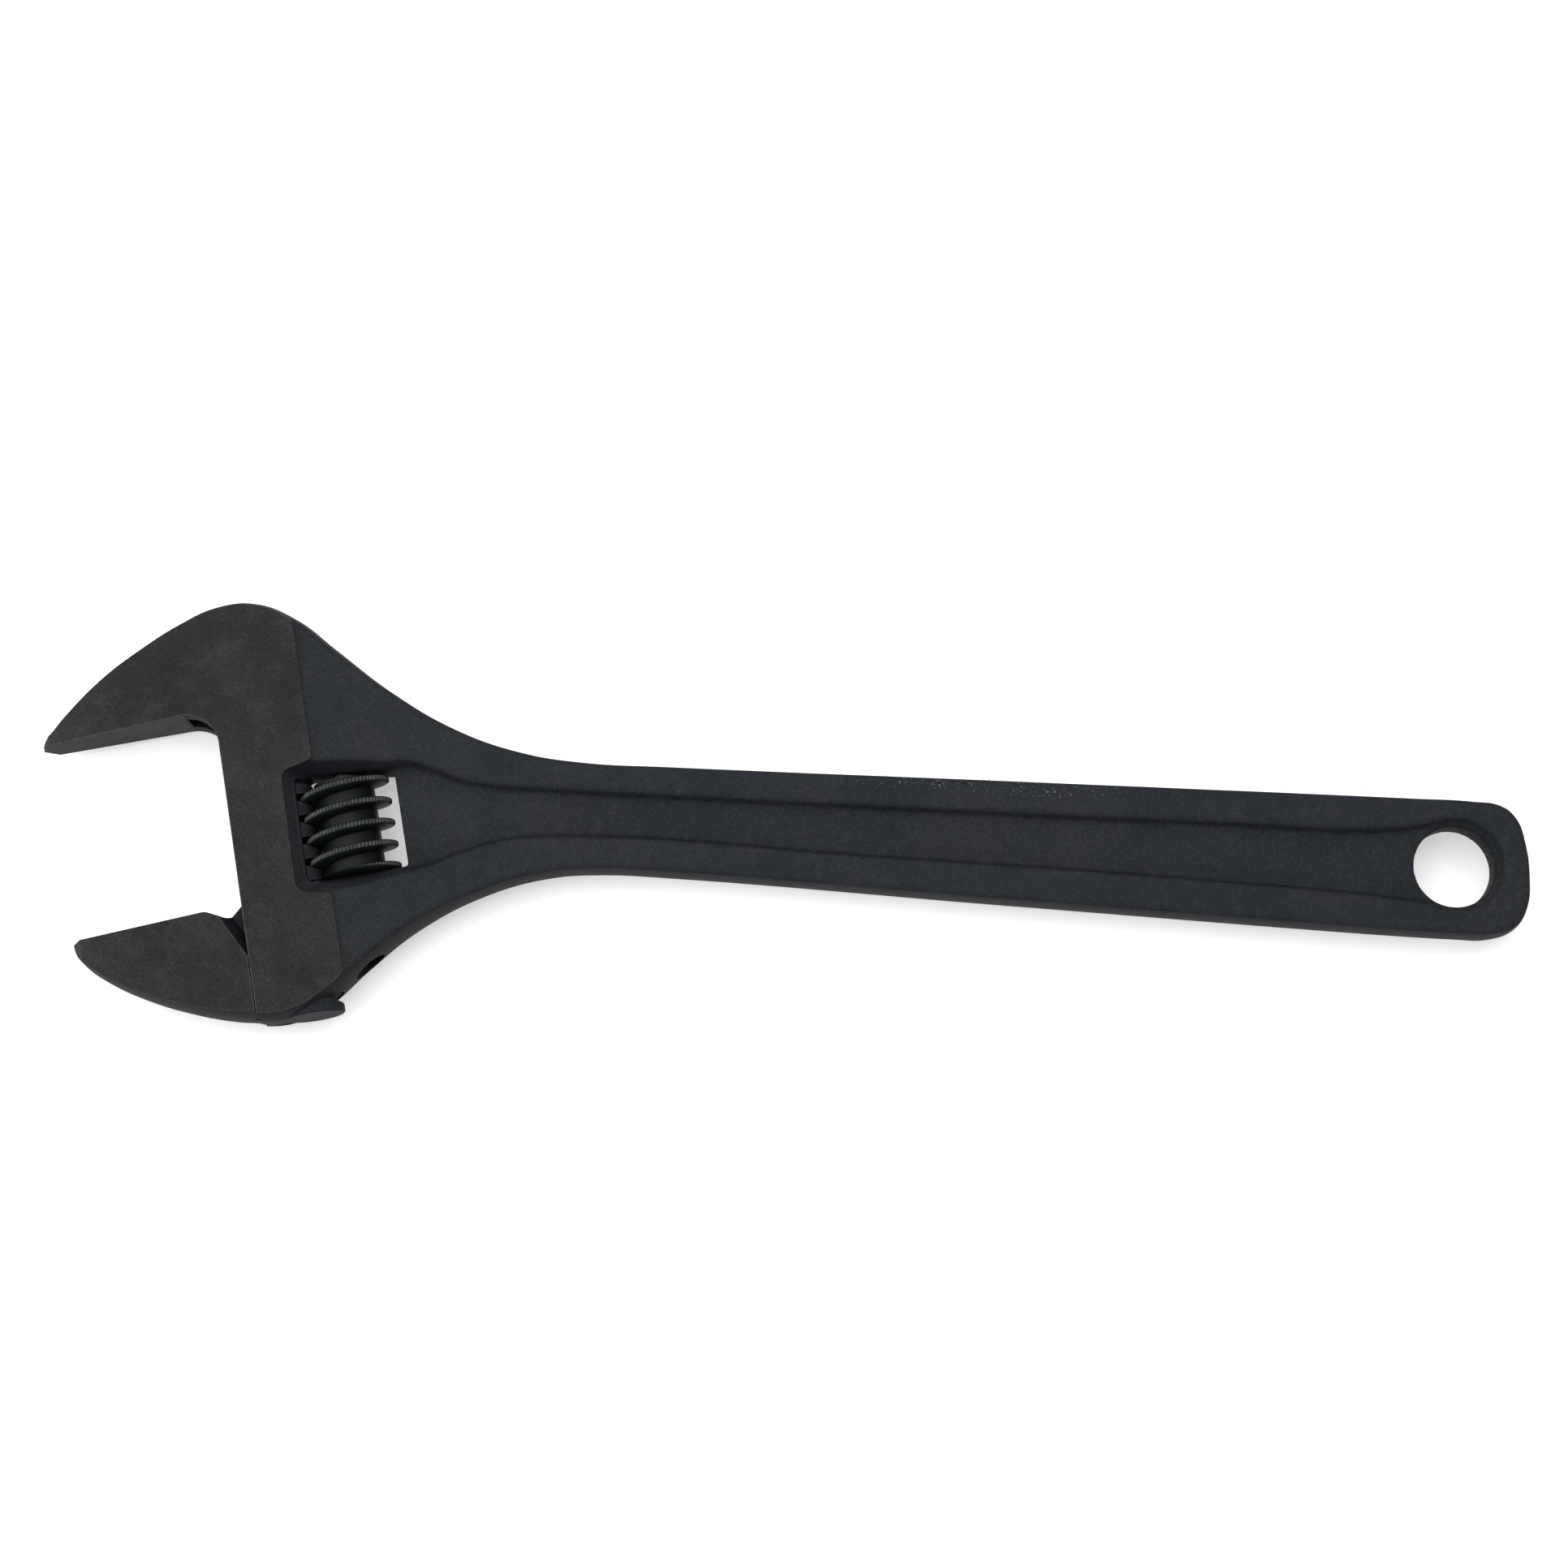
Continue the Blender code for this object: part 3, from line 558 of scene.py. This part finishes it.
def make_worm():
    worm = rod("adjusting_worm_knurled", WORM_ROOT_RADIUS, WORM_BOTTOM - 12.0, WORM_TOP + 12.0, 0.0, 144)
    cut(worm, make_thread(), "UNION")
    settle(worm)
    ends = turned("ends", [
        (0.0, WORM_BOTTOM), (WORM_RADIUS - 0.9, WORM_BOTTOM), (WORM_RADIUS + 0.4, WORM_BOTTOM + 0.7),
        (WORM_RADIUS + 0.4, WORM_TOP - 0.7), (WORM_RADIUS - 0.9, WORM_TOP), (0.0, WORM_TOP),
    ], 0.0)
    cut(worm, ends, "INTERSECT")
    cut(worm, rod("worm_bore", PIN_RADIUS + GAP, -40.0, 40.0, 0.0))
    pocket_floor = SPRING_BOTTOM - SPRING_WIRE - GAP
    cut(worm, rod("pocket", SPRING_POCKET_RADIUS, pocket_floor, 40.0, 0.0))
    settle(worm)
    return worm


def make_pin():
    """A slotted screw whose plain shank is the worm's axle."""
    profile = [
        (0.0, SCREW_BOTTOM), (SCREW_RADIUS - 0.5, SCREW_BOTTOM), (SCREW_RADIUS, SCREW_BOTTOM + 0.5),
        (SCREW_RADIUS, SCREW_TOP - 0.4), (SCREW_RADIUS - 0.4, SCREW_TOP), (PIN_RADIUS + 0.2, SCREW_TOP),
        (PIN_RADIUS, SCREW_TOP + 0.2), (PIN_RADIUS, PIN_TOP - 0.5), (PIN_RADIUS - 0.5, PIN_TOP),
        (0.0, PIN_TOP),
    ]
    pin = turned("worm_pin_slotted", profile, 0.0, 72)
    slot = [(-10.0, -0.5), (10.0, -0.5), (10.0, 0.5), (-10.0, 0.5)]
    cut(pin, side_prism("driver_slot", slot, SCREW_BOTTOM - 1.0, SCREW_BOTTOM + 1.6, HEAD))
    settle(pin)
    return pin


def make_spring():
    """A closed coil of round wire, its section swept along the helix."""
    bm = bmesh.new()
    rings = []
    steps = SPRING_TURNS * 48
    for step in range(steps + 1):
        share = step / steps
        angle = 2.0 * math.pi * SPRING_TURNS * share
        height = SPRING_BOTTOM + (SPRING_TOP - SPRING_BOTTOM) * share
        ring = []
        for corner in range(14):
            turn = 2.0 * math.pi * corner / 14
            radius = SPRING_RADIUS + SPRING_WIRE * math.cos(turn)
            ring.append(bm.verts.new((radius * math.cos(angle), height + SPRING_WIRE * math.sin(turn),
                                      -radius * math.sin(angle))))
        rings.append(ring)
    for lower, upper in zip(rings, rings[1:]):
        for corner in range(14):
            following = (corner + 1) % 14
            bm.faces.new((lower[corner], lower[following], upper[following], upper[corner]))
    bm.faces.new(rings[0])
    bm.faces.new(rings[-1])
    return raw_object("worm_spring_coil", bm, HEAD)


# ---- which faces are ground and which are forged -------------------------------------------


def mark_ground(obj, faces_at):
    """Gives slot 1 to the ground faces: the flat sides, the jaw faces and the throat wall."""
    mesh = obj.data
    count = len(mesh.polygons)
    centres = np.empty(count * 3)
    normals = np.empty(count * 3)
    mesh.polygons.foreach_get("center", centres)
    mesh.polygons.foreach_get("normal", normals)
    to_head = np.array(HEAD.inverted())
    centres = centres.reshape(-1, 3) @ to_head[:3, :3].T + to_head[:3, 3]
    normals = normals.reshape(-1, 3) @ to_head[:3, :3].T
    p, q, z = centres.T
    side_half = faces_at["half"] - JAW_TAPER * np.clip(THROAT - p, 0.0, None) * faces_at["taper"](q)
    side = (np.abs(np.abs(z) - side_half) < 0.03) & (np.abs(normals[:, 2]) > 0.985) & (p < GROUND_EDGE + 3.0)
    jaw_height = faces_at["jaw_face"] + (p - JAW_FACE_AT) * JAW_FACE_SLOPE
    face = (np.abs(q - jaw_height) < 0.03) & (p < THROAT)
    wall = (np.abs(p - faces_at["wall"]) < 0.03) & (np.abs(normals[:, 0]) > 0.99)
    index = np.where(side | face | wall, 1, 0).astype(np.int32)
    mesh.polygons.foreach_set("material_index", index)


# ---- materials -----------------------------------------------------------------------------


class Recipe:
    """Builds one node material, in millimetres of the object's own coordinates."""

    def __init__(self, name):
        self.material = bpy.data.materials.new(name)
        self.material.use_nodes = True
        self.tree = self.material.node_tree
        self.shader = self.tree.nodes["Principled BSDF"]
        coordinates = self.tree.nodes.new("ShaderNodeTexCoord")
        self.place = self.scaled(coordinates.outputs["Object"], (METRE, METRE, METRE))
        self.facing = coordinates.outputs["Normal"]

    def link(self, value, socket):
        if isinstance(value, bpy.types.NodeSocket):
            self.tree.links.new(value, socket)
        else:
            socket.default_value = value

    def scaled(self, vector, scale, turn=(0.0, 0.0, 0.0), shift=(0.0, 0.0, 0.0)):
        node = self.tree.nodes.new("ShaderNodeMapping")
        self.link(vector, node.inputs["Vector"])
        node.inputs["Location"].default_value = shift
        node.inputs["Rotation"].default_value = turn
        node.inputs["Scale"].default_value = scale
        return node.outputs["Vector"]

    def noise(self, scale, detail=4.0, rough=0.55, vector=None, distortion=0.0):
        node = self.tree.nodes.new("ShaderNodeTexNoise")
        self.link(vector or self.place, node.inputs["Vector"])
        node.inputs["Scale"].default_value = scale
        node.inputs["Detail"].default_value = detail
        node.inputs["Roughness"].default_value = rough
        node.inputs["Distortion"].default_value = distortion
        return node.outputs["Fac"]

    def cells(self, scale, vector=None):
        node = self.tree.nodes.new("ShaderNodeTexVoronoi")
        self.link(vector or self.place, node.inputs["Vector"])
        node.inputs["Scale"].default_value = scale
        return node.outputs["Distance"]

    def span(self, value, low, high, out_low=0.0, out_high=1.0, smooth=True):
        """Maps low..high of the value to out_low..out_high, clamped."""
        node = self.tree.nodes.new("ShaderNodeMapRange")
        node.interpolation_type = "SMOOTHSTEP" if smooth else "LINEAR"
        self.link(value, node.inputs["Value"])
        node.inputs["From Min"].default_value = low
        node.inputs["From Max"].default_value = high
        node.inputs["To Min"].default_value = out_low
        node.inputs["To Max"].default_value = out_high
        return node.outputs["Result"]

    def maths(self, operation, a, b=0.0):
        node = self.tree.nodes.new("ShaderNodeMath")
        node.operation = operation
        self.link(a, node.inputs[0])
        self.link(b, node.inputs[1])
        return node.outputs["Value"]

    def mix(self, factor, a, b):
        """Mixes two colours."""
        node = self.tree.nodes.new("ShaderNodeMix")
        node.data_type = "RGBA"
        self.link(factor, node.inputs["Factor"])
        for value, socket in ((a, node.inputs[6]), (b, node.inputs[7])):
            self.link((*value, 1.0) if isinstance(value, tuple) else value, socket)
        return node.outputs[2]

    def times(self, colour, factor):
        """Darkens or lightens a colour."""
        node = self.tree.nodes.new("ShaderNodeVectorMath")
        node.operation = "SCALE"
        self.link(colour, node.inputs[0])
        self.link(factor, node.inputs["Scale"])
        return node.outputs["Vector"]

    def painted_hollow_shade(self, reach_mm, darkest):
        """1 in the open, down to darkest in corners and hollows: painted shade, from how closed in each point
        is.
        """
        node = self.tree.nodes.new("ShaderNodeAmbientOcclusion")
        node.samples = 6
        node.only_local = True
        node.inputs["Distance"].default_value = reach_mm / METRE
        return self.span(node.outputs["AO"], 0.35, 1.0, darkest, 1.0, smooth=False)

    def painted_side_shade(self, darkest):
        """Painted shade: 1 on the broad faces, down to darkest on the side walls and edges, by which way the
        surface faces.
        """
        split = self.tree.nodes.new("ShaderNodeSeparateXYZ")
        self.link(self.facing, split.inputs["Vector"])
        return self.span(self.maths("ABSOLUTE", split.outputs[2]), 0.25, 0.90, darkest, 1.0)

    def axis(self, index):
        node = self.tree.nodes.new("ShaderNodeSeparateXYZ")
        self.link(self.place, node.inputs["Vector"])
        return node.outputs[index]

    def edges(self, radius_mm, low, high):
        """1 on sharp edges, 0 on flats, from how far a rounded normal leans from the true one."""
        bevel = self.tree.nodes.new("ShaderNodeBevel")
        bevel.samples = 6
        bevel.inputs["Radius"].default_value = radius_mm / METRE
        geometry = self.tree.nodes.new("ShaderNodeNewGeometry")
        dot = self.tree.nodes.new("ShaderNodeVectorMath")
        dot.operation = "DOT_PRODUCT"
        self.link(bevel.outputs["Normal"], dot.inputs[0])
        self.link(geometry.outputs["True Normal"], dot.inputs[1])
        lean = self.maths("SUBTRACT", 1.0, dot.outputs["Value"])
        return self.span(lean, low, high)

    def bump(self, layers, round_mm=0.0):
        """Stacks bumps, each (height 0..1, depth in millimetres), over rounded edges."""
        normal = None
        if round_mm:
            bevel = self.tree.nodes.new("ShaderNodeBevel")
            bevel.samples = 6
            bevel.inputs["Radius"].default_value = round_mm / METRE
            normal = bevel.outputs["Normal"]
        for height, depth in layers:
            node = self.tree.nodes.new("ShaderNodeBump")
            node.inputs["Strength"].default_value = 1.0
            node.inputs["Distance"].default_value = depth / METRE
            self.link(height, node.inputs["Height"])
            if normal is not None:
                self.link(normal, node.inputs["Normal"])
            normal = node.outputs["Normal"]
        self.link(normal, self.shader.inputs["Normal"])

    def finish(self, colour, roughness, metallic, specular):
        self.link(colour, self.shader.inputs["Base Color"])
        self.link(roughness, self.shader.inputs["Roughness"])
        self.shader.inputs["Metallic"].default_value = metallic
        self.shader.inputs["Specular IOR Level"].default_value = specular
        return self.material


def scratches(recipe, scale, turn, stretch, low, high):
    """Fine straight marks in one direction."""
    vector = recipe.scaled(recipe.place, (1.0 / stretch, 1.0, 1.0), turn=(0.0, 0.0, turn))
    lines = recipe.noise(scale, 3.0, 0.6, vector)
    return recipe.span(lines, low, high)


def forged_steel():
    """Oxidised forging skin: blue-black, fine grained, a little mottled, scuffed where it sits proud."""
    r = Recipe("forged_oxide")
    broad = r.noise(0.045, 4.0, 0.6)
    patches = r.noise(0.22, 5.0, 0.65)
    fine = r.noise(1.1, 5.0, 0.62)
    grain = r.noise(2.8, 3.0, 0.7)
    pits = r.cells(0.9)
    colour = r.mix(r.span(broad, 0.36, 0.64), (0.0174, 0.0198, 0.0242), (0.0212, 0.0232, 0.0268))
    colour = r.mix(r.span(patches, 0.50, 0.74, 0.0, 0.40), colour, (0.0305, 0.0316, 0.0328))
    colour = r.times(colour, r.span(grain, 0.32, 0.68, 0.72, 1.30, smooth=False))
    colour = r.times(colour, r.span(fine, 0.32, 0.68, 0.80, 1.22, smooth=False))
    worn = r.maths("MULTIPLY", r.edges(1.3, 0.02, 0.22), r.span(r.noise(0.12, 5.0, 0.7), 0.35, 0.6, 0.2, 1.0))
    colour = r.mix(r.maths("MULTIPLY", worn, 0.6), colour, (0.042, 0.043, 0.043))
    # painted shade: darker in corners, recesses and hollows
    colour = r.times(colour, r.painted_hollow_shade(8.0, 0.20))
    # painted shade: darker on the side walls and edges
    colour = r.times(colour, r.painted_side_shade(0.62))
    flecks = r.maths("MULTIPLY", r.span(r.noise(1.5, 4.0, 0.75), 0.60, 0.70), scuff_band(r))
    stray = r.span(r.noise(1.3, 2.0, 0.5), 0.79, 0.82)
    flecks = r.maths("MAXIMUM", flecks, r.maths("MULTIPLY", stray, 0.35))
    colour = r.mix(flecks, colour, (0.26, 0.26, 0.26))
    rough = r.span(fine, 0.3, 0.8, 0.50, 0.64)
    r.bump([(r.noise(0.18, 3.0, 0.5), 0.10), (fine, 0.06), (grain, 0.03), (r.span(pits, 0.0, 0.28), 0.016)],
           round_mm=0.3)
    return r.finish(colour, rough, metallic=0.0, specular=0.03)


def scuff_band(r):
    """1 along the top of the upper rib over the handle's middle, where the tool has been knocked."""
    hole = mounts["hanging_hole"]
    x = r.axis(0)
    y = r.axis(1)
    start = r.span(x, hole.x - 160.0, hole.x - 145.0)
    end = r.span(x, hole.x - 96.0, hole.x - 80.0, 1.0, 0.0)
    lower = r.span(y, hole.y + 10.5, hole.y + 12.0)
    upper = r.span(y, hole.y + 15.0, hole.y + 16.0, 1.0, 0.0)
    return r.maths("MULTIPLY", r.maths("MULTIPLY", start, end), r.maths("MULTIPLY", lower, upper))


def ground_steel():
    """Ground flats gone dark: warm grey, stained in clouds, finely scratched, paler on edges and tips."""
    r = Recipe("ground_satin")
    clouds = r.noise(0.060, 6.0, 0.66, distortion=0.4)
    smears = r.noise(0.17, 6.0, 0.68)
    fine = r.noise(1.3, 5.0, 0.65)
    grain = r.noise(3.6, 2.0, 0.7)
    colour = r.mix(r.span(clouds, 0.36, 0.64), (0.0166, 0.0174, 0.0174), (0.0248, 0.0247, 0.0239))
    colour = r.mix(r.span(smears, 0.48, 0.72, 0.0, 0.75), colour, (0.0330, 0.0328, 0.0316))
    along = r.scaled(r.place, (1.0, 1.0, 1.0), turn=(0.0, 0.0, -HEAD_ANGLE))
    split = r.tree.nodes.new("ShaderNodeSeparateXYZ")
    r.link(along, split.inputs["Vector"])
    middle = WORM_MIDDLE.x * math.cos(HEAD_ANGLE) + WORM_MIDDLE.y * math.sin(HEAD_ANGLE)
    tip = r.span(split.outputs[0], middle - 74.0, middle - 50.0, 1.0, 0.0)
    tip = r.maths("MULTIPLY", tip, r.span(smears, 0.35, 0.65, 0.35, 1.0))
    colour = r.mix(r.maths("MULTIPLY", tip, 0.55), colour, (0.042, 0.0417, 0.0400))
    colour = r.times(colour, r.span(grain, 0.32, 0.68, 0.72, 1.32, smooth=False))
    colour = r.times(colour, r.span(fine, 0.32, 0.68, 0.78, 1.25, smooth=False))
    # painted shade: darker on the side walls, jaw faces and throat wall
    colour = r.times(colour, r.painted_side_shade(0.70))
    marks = scratches(r, 1.5, 0.25, 26.0, 0.73, 0.80)
    marks = r.maths("MAXIMUM", marks, scratches(r, 1.2, 1.2, 22.0, 0.74, 0.80))
    marks = r.maths("MAXIMUM", marks, scratches(r, 1.0, -0.7, 18.0, 0.75, 0.81))
    colour = r.mix(r.maths("MULTIPLY", marks, 0.55), colour, (0.085, 0.085, 0.082))
    flecks = r.span(r.noise(1.2, 3.0, 0.6), 0.74, 0.78)
    colour = r.mix(r.maths("MULTIPLY", flecks, 0.5), colour, (0.11, 0.11, 0.105))
    patchy = r.span(r.noise(0.35, 5.0, 0.7), 0.40, 0.58, 0.3, 1.0)
    worn = r.maths("MULTIPLY", r.edges(0.5, 0.015, 0.20), patchy)
    colour = r.mix(r.maths("MULTIPLY", worn, 0.85), colour, (0.14, 0.14, 0.134))
    rough = r.maths("ADD", r.span(clouds, 0.35, 0.65, 0.42, 0.54), r.span(smears, 0.5, 0.75, 0.0, 0.10))
    grind = scratches(r, 5.0, 0.236, 30.0, 0.3, 0.7)
    r.bump([(clouds, 0.05), (fine, 0.014), (grind, 0.006), (marks, 0.012)], round_mm=0.25)
    return r.finish(colour, rough, metallic=0.0, specular=0.035)


def worm_steel():
    """Turned and knurled: greenish black, with painted shade in the roots, rubbed bright on the serrated
    crests.
    """
    r = Recipe("knurled_black")
    axis = worm_radius(r)
    fine = r.noise(1.4, 4.0, 0.6)
    colour = r.mix(r.span(fine, 0.35, 0.7), (0.009, 0.0120, 0.0125), (0.014, 0.0172, 0.0168))
    # painted shade: darker in the thread's roots and other hollows
    colour = r.times(colour, r.painted_hollow_shade(4.0, 0.35))
    crest = r.span(axis, WORM_RADIUS - 0.50, WORM_RADIUS - 0.08)
    crest = r.maths("MULTIPLY", crest, r.span(r.noise(0.4, 4.0, 0.7), 0.35, 0.65, 0.45, 1.0))
    colour = r.mix(r.maths("MULTIPLY", crest, 0.8), colour, (0.085, 0.088, 0.085))
    rough = r.span(fine, 0.3, 0.8, 0.40, 0.56)
    turning = r.noise(2.6, 2.0, 0.5, r.scaled(r.place, (0.05, 1.0, 0.05)))
    r.bump([(fine, 0.02), (turning, 0.01)], round_mm=0.12)
    return r.finish(colour, rough, metallic=0.1, specular=0.12)


def worm_radius(r):
    """Distance from the worm's axis, in millimetres."""
    offset = r.tree.nodes.new("ShaderNodeVectorMath")
    offset.operation = "SUBTRACT"
    r.link(r.place, offset.inputs[0])
    offset.inputs[1].default_value = WORM_MIDDLE
    flat = r.tree.nodes.new("ShaderNodeVectorRotate")
    flat.rotation_type = "Z_AXIS"
    r.link(offset.outputs["Vector"], flat.inputs["Vector"])
    flat.inputs["Angle"].default_value = -HEAD_ANGLE
    squash = r.tree.nodes.new("ShaderNodeVectorMath")
    squash.operation = "MULTIPLY"
    r.link(flat.outputs["Vector"], squash.inputs[0])
    squash.inputs[1].default_value = (1.0, 0.0, 1.0)
    length = r.tree.nodes.new("ShaderNodeVectorMath")
    length.operation = "LENGTH"
    r.link(squash.outputs["Vector"], length.inputs[0])
    return length.outputs["Value"]


def turned_steel(name, dark, light, rough_low, rough_high):
    """Small turned or drawn pieces, with fine rings and light wear."""
    r = Recipe(name)
    fine = r.noise(2.2, 4.0, 0.6)
    colour = r.mix(r.span(fine, 0.35, 0.7), dark, light)
    worn = r.edges(0.3, 0.02, 0.25)
    colour = r.mix(r.maths("MULTIPLY", worn, 0.6), colour, (0.20, 0.20, 0.19))
    rings = r.noise(3.0, 2.0, 0.5, r.scaled(r.place, (0.08, 1.0, 0.08)))
    r.bump([(fine, 0.012), (rings, 0.008)])
    rough = r.span(fine, 0.3, 0.8, rough_low, rough_high)
    return r.finish(colour, rough, metallic=0.5, specular=0.3)


def floor_paper():
    """Pale matte sweep with the faintest tooth, lit a little from within so that it stays white."""
    r = Recipe("floor_paper")
    tone = r.noise(0.02, 3.0, 0.5)
    colour = r.mix(tone, (0.86, 0.86, 0.86), (0.90, 0.90, 0.90))
    r.bump([(r.noise(1.5, 2.0, 0.5), 0.01)])
    r.shader.inputs["Emission Color"].default_value = (1.0, 1.0, 1.0, 1.0)
    r.shader.inputs["Emission Strength"].default_value = 0.42
    return r.finish(colour, r.span(tone, 0.3, 0.7, 0.85, 0.95), metallic=0.0, specular=0.0)


# ---- the pieces ----------------------------------------------------------------------------


def complete(obj, node, body, materials, sharp_angle, ground_at=None):
    """Gives the piece its materials, scales it to metres and hands it to the frame."""
    obj.data.materials.clear()
    for material in materials:
        obj.data.materials.append(material)
    if ground_at:
        mark_ground(obj, ground_at)
    obj.data.transform(Matrix.Scale(1.0 / METRE, 4))
    obj.data.shade_smooth()
    obj.data.set_sharp_from_angle(angle=math.radians(sharp_angle))
    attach(obj, body)
    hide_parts(node)
    return obj


forged = forged_steel()
ground = ground_steel()

body_ground = {"half": HEAD_HALF, "taper": lambda q: (q > 10.0).astype(float),
               "jaw_face": FIXED_FACE, "wall": THROAT}
complete(make_body(), "wrench_body", "body", [forged, ground], 28.0, body_ground)

jaw_ground = {"half": HEAD_HALF - 0.1, "taper": lambda q: np.ones_like(q),
              "jaw_face": MOVING_FACE, "wall": THROAT - GAP}
complete(make_jaw(), "movable_jaw", "jaw", [forged, ground], 28.0, jaw_ground)

worm_piece = make_worm()
complete(worm_piece, "adjusting_worm", "worm", [worm_steel()], 24.0)

pin_piece = make_pin()
pin_finish = turned_steel("turned_dark", (0.024, 0.025, 0.027), (0.05, 0.05, 0.05), 0.34, 0.5)
complete(pin_piece, "worm_pin", "body", [pin_finish], 30.0)

spring_piece = make_spring()
spring_finish = turned_steel("drawn_wire", (0.07, 0.07, 0.07), (0.13, 0.13, 0.12), 0.30, 0.45)
complete(spring_piece, "worm_spring", "body", [spring_finish], 60.0)

# ---- floor, light and camera ---------------------------------------------------------------

FLOOR_HALF = 3000.0

bm = bmesh.new()
bmesh.ops.create_grid(bm, x_segments=8, y_segments=8, size=FLOOR_HALF)
floor = raw_object("floor_sweep", bm, Matrix.Identity(4))
floor.data.transform(Matrix.Scale(1.0 / METRE, 4))
floor.data.materials.append(floor_paper())


def soft_light(name, size, energy, position):
    """A rectangular softbox that points at the wrench."""
    data = bpy.data.lights.new(name, "AREA")
    data.shape = "RECTANGLE"
    data.size, data.size_y = size
    data.energy = energy
    light = bpy.data.objects.new(name, data)
    light.location = position
    light.rotation_euler = (-Vector(position)).to_track_quat("-Z", "Y").to_euler()
    bpy.context.scene.collection.objects.link(light)


soft_light("overhead_softbox", (1.6, 1.0), 14.0, (-0.15, 0.35, 1.15))
soft_light("side_fill", (0.8, 0.8), 4.0, (-0.9, -0.25, 0.6))

world = bpy.data.worlds.new("studio")
world.use_nodes = True
sky = world.node_tree.nodes["Background"]
sky.inputs["Color"].default_value = (1.0, 1.0, 1.0, 1.0)
sky.inputs["Strength"].default_value = 0.50
bpy.context.scene.world = world
bpy.context.scene.view_settings.view_transform = "Standard"

CAMERA_DISTANCE = 0.748
CAMERA_PITCH = math.radians(12.0)       # the lens looks down from the lower edge's side
CAMERA_ROLL = math.radians(3.5)
CAMERA_AIM = (-0.17087, 0.01183, 0.0)   # from the hanging hole
SENSOR = 36.0
FOCAL_PIXELS = 3600.0
IMAGE_WIDTH = 1932.0

camera_data = bpy.data.cameras.new("camera")
camera_data.sensor_width = SENSOR
camera_data.lens = SENSOR * FOCAL_PIXELS / IMAGE_WIDTH
camera = bpy.data.objects.new("camera", camera_data)
roll = Matrix.Rotation(CAMERA_ROLL, 3, "Z")
back = Vector((0.0, -math.sin(CAMERA_PITCH), math.cos(CAMERA_PITCH)))
right = Vector((1.0, 0.0, 0.0))
up = back.cross(right)
view = Matrix((roll @ right, roll @ up, roll @ back)).transposed().to_4x4()
view.translation = mounts["hanging_hole"] / METRE + Vector(CAMERA_AIM) + roll @ back * CAMERA_DISTANCE
camera.matrix_world = view
bpy.context.scene.collection.objects.link(camera)
bpy.context.scene.camera = camera
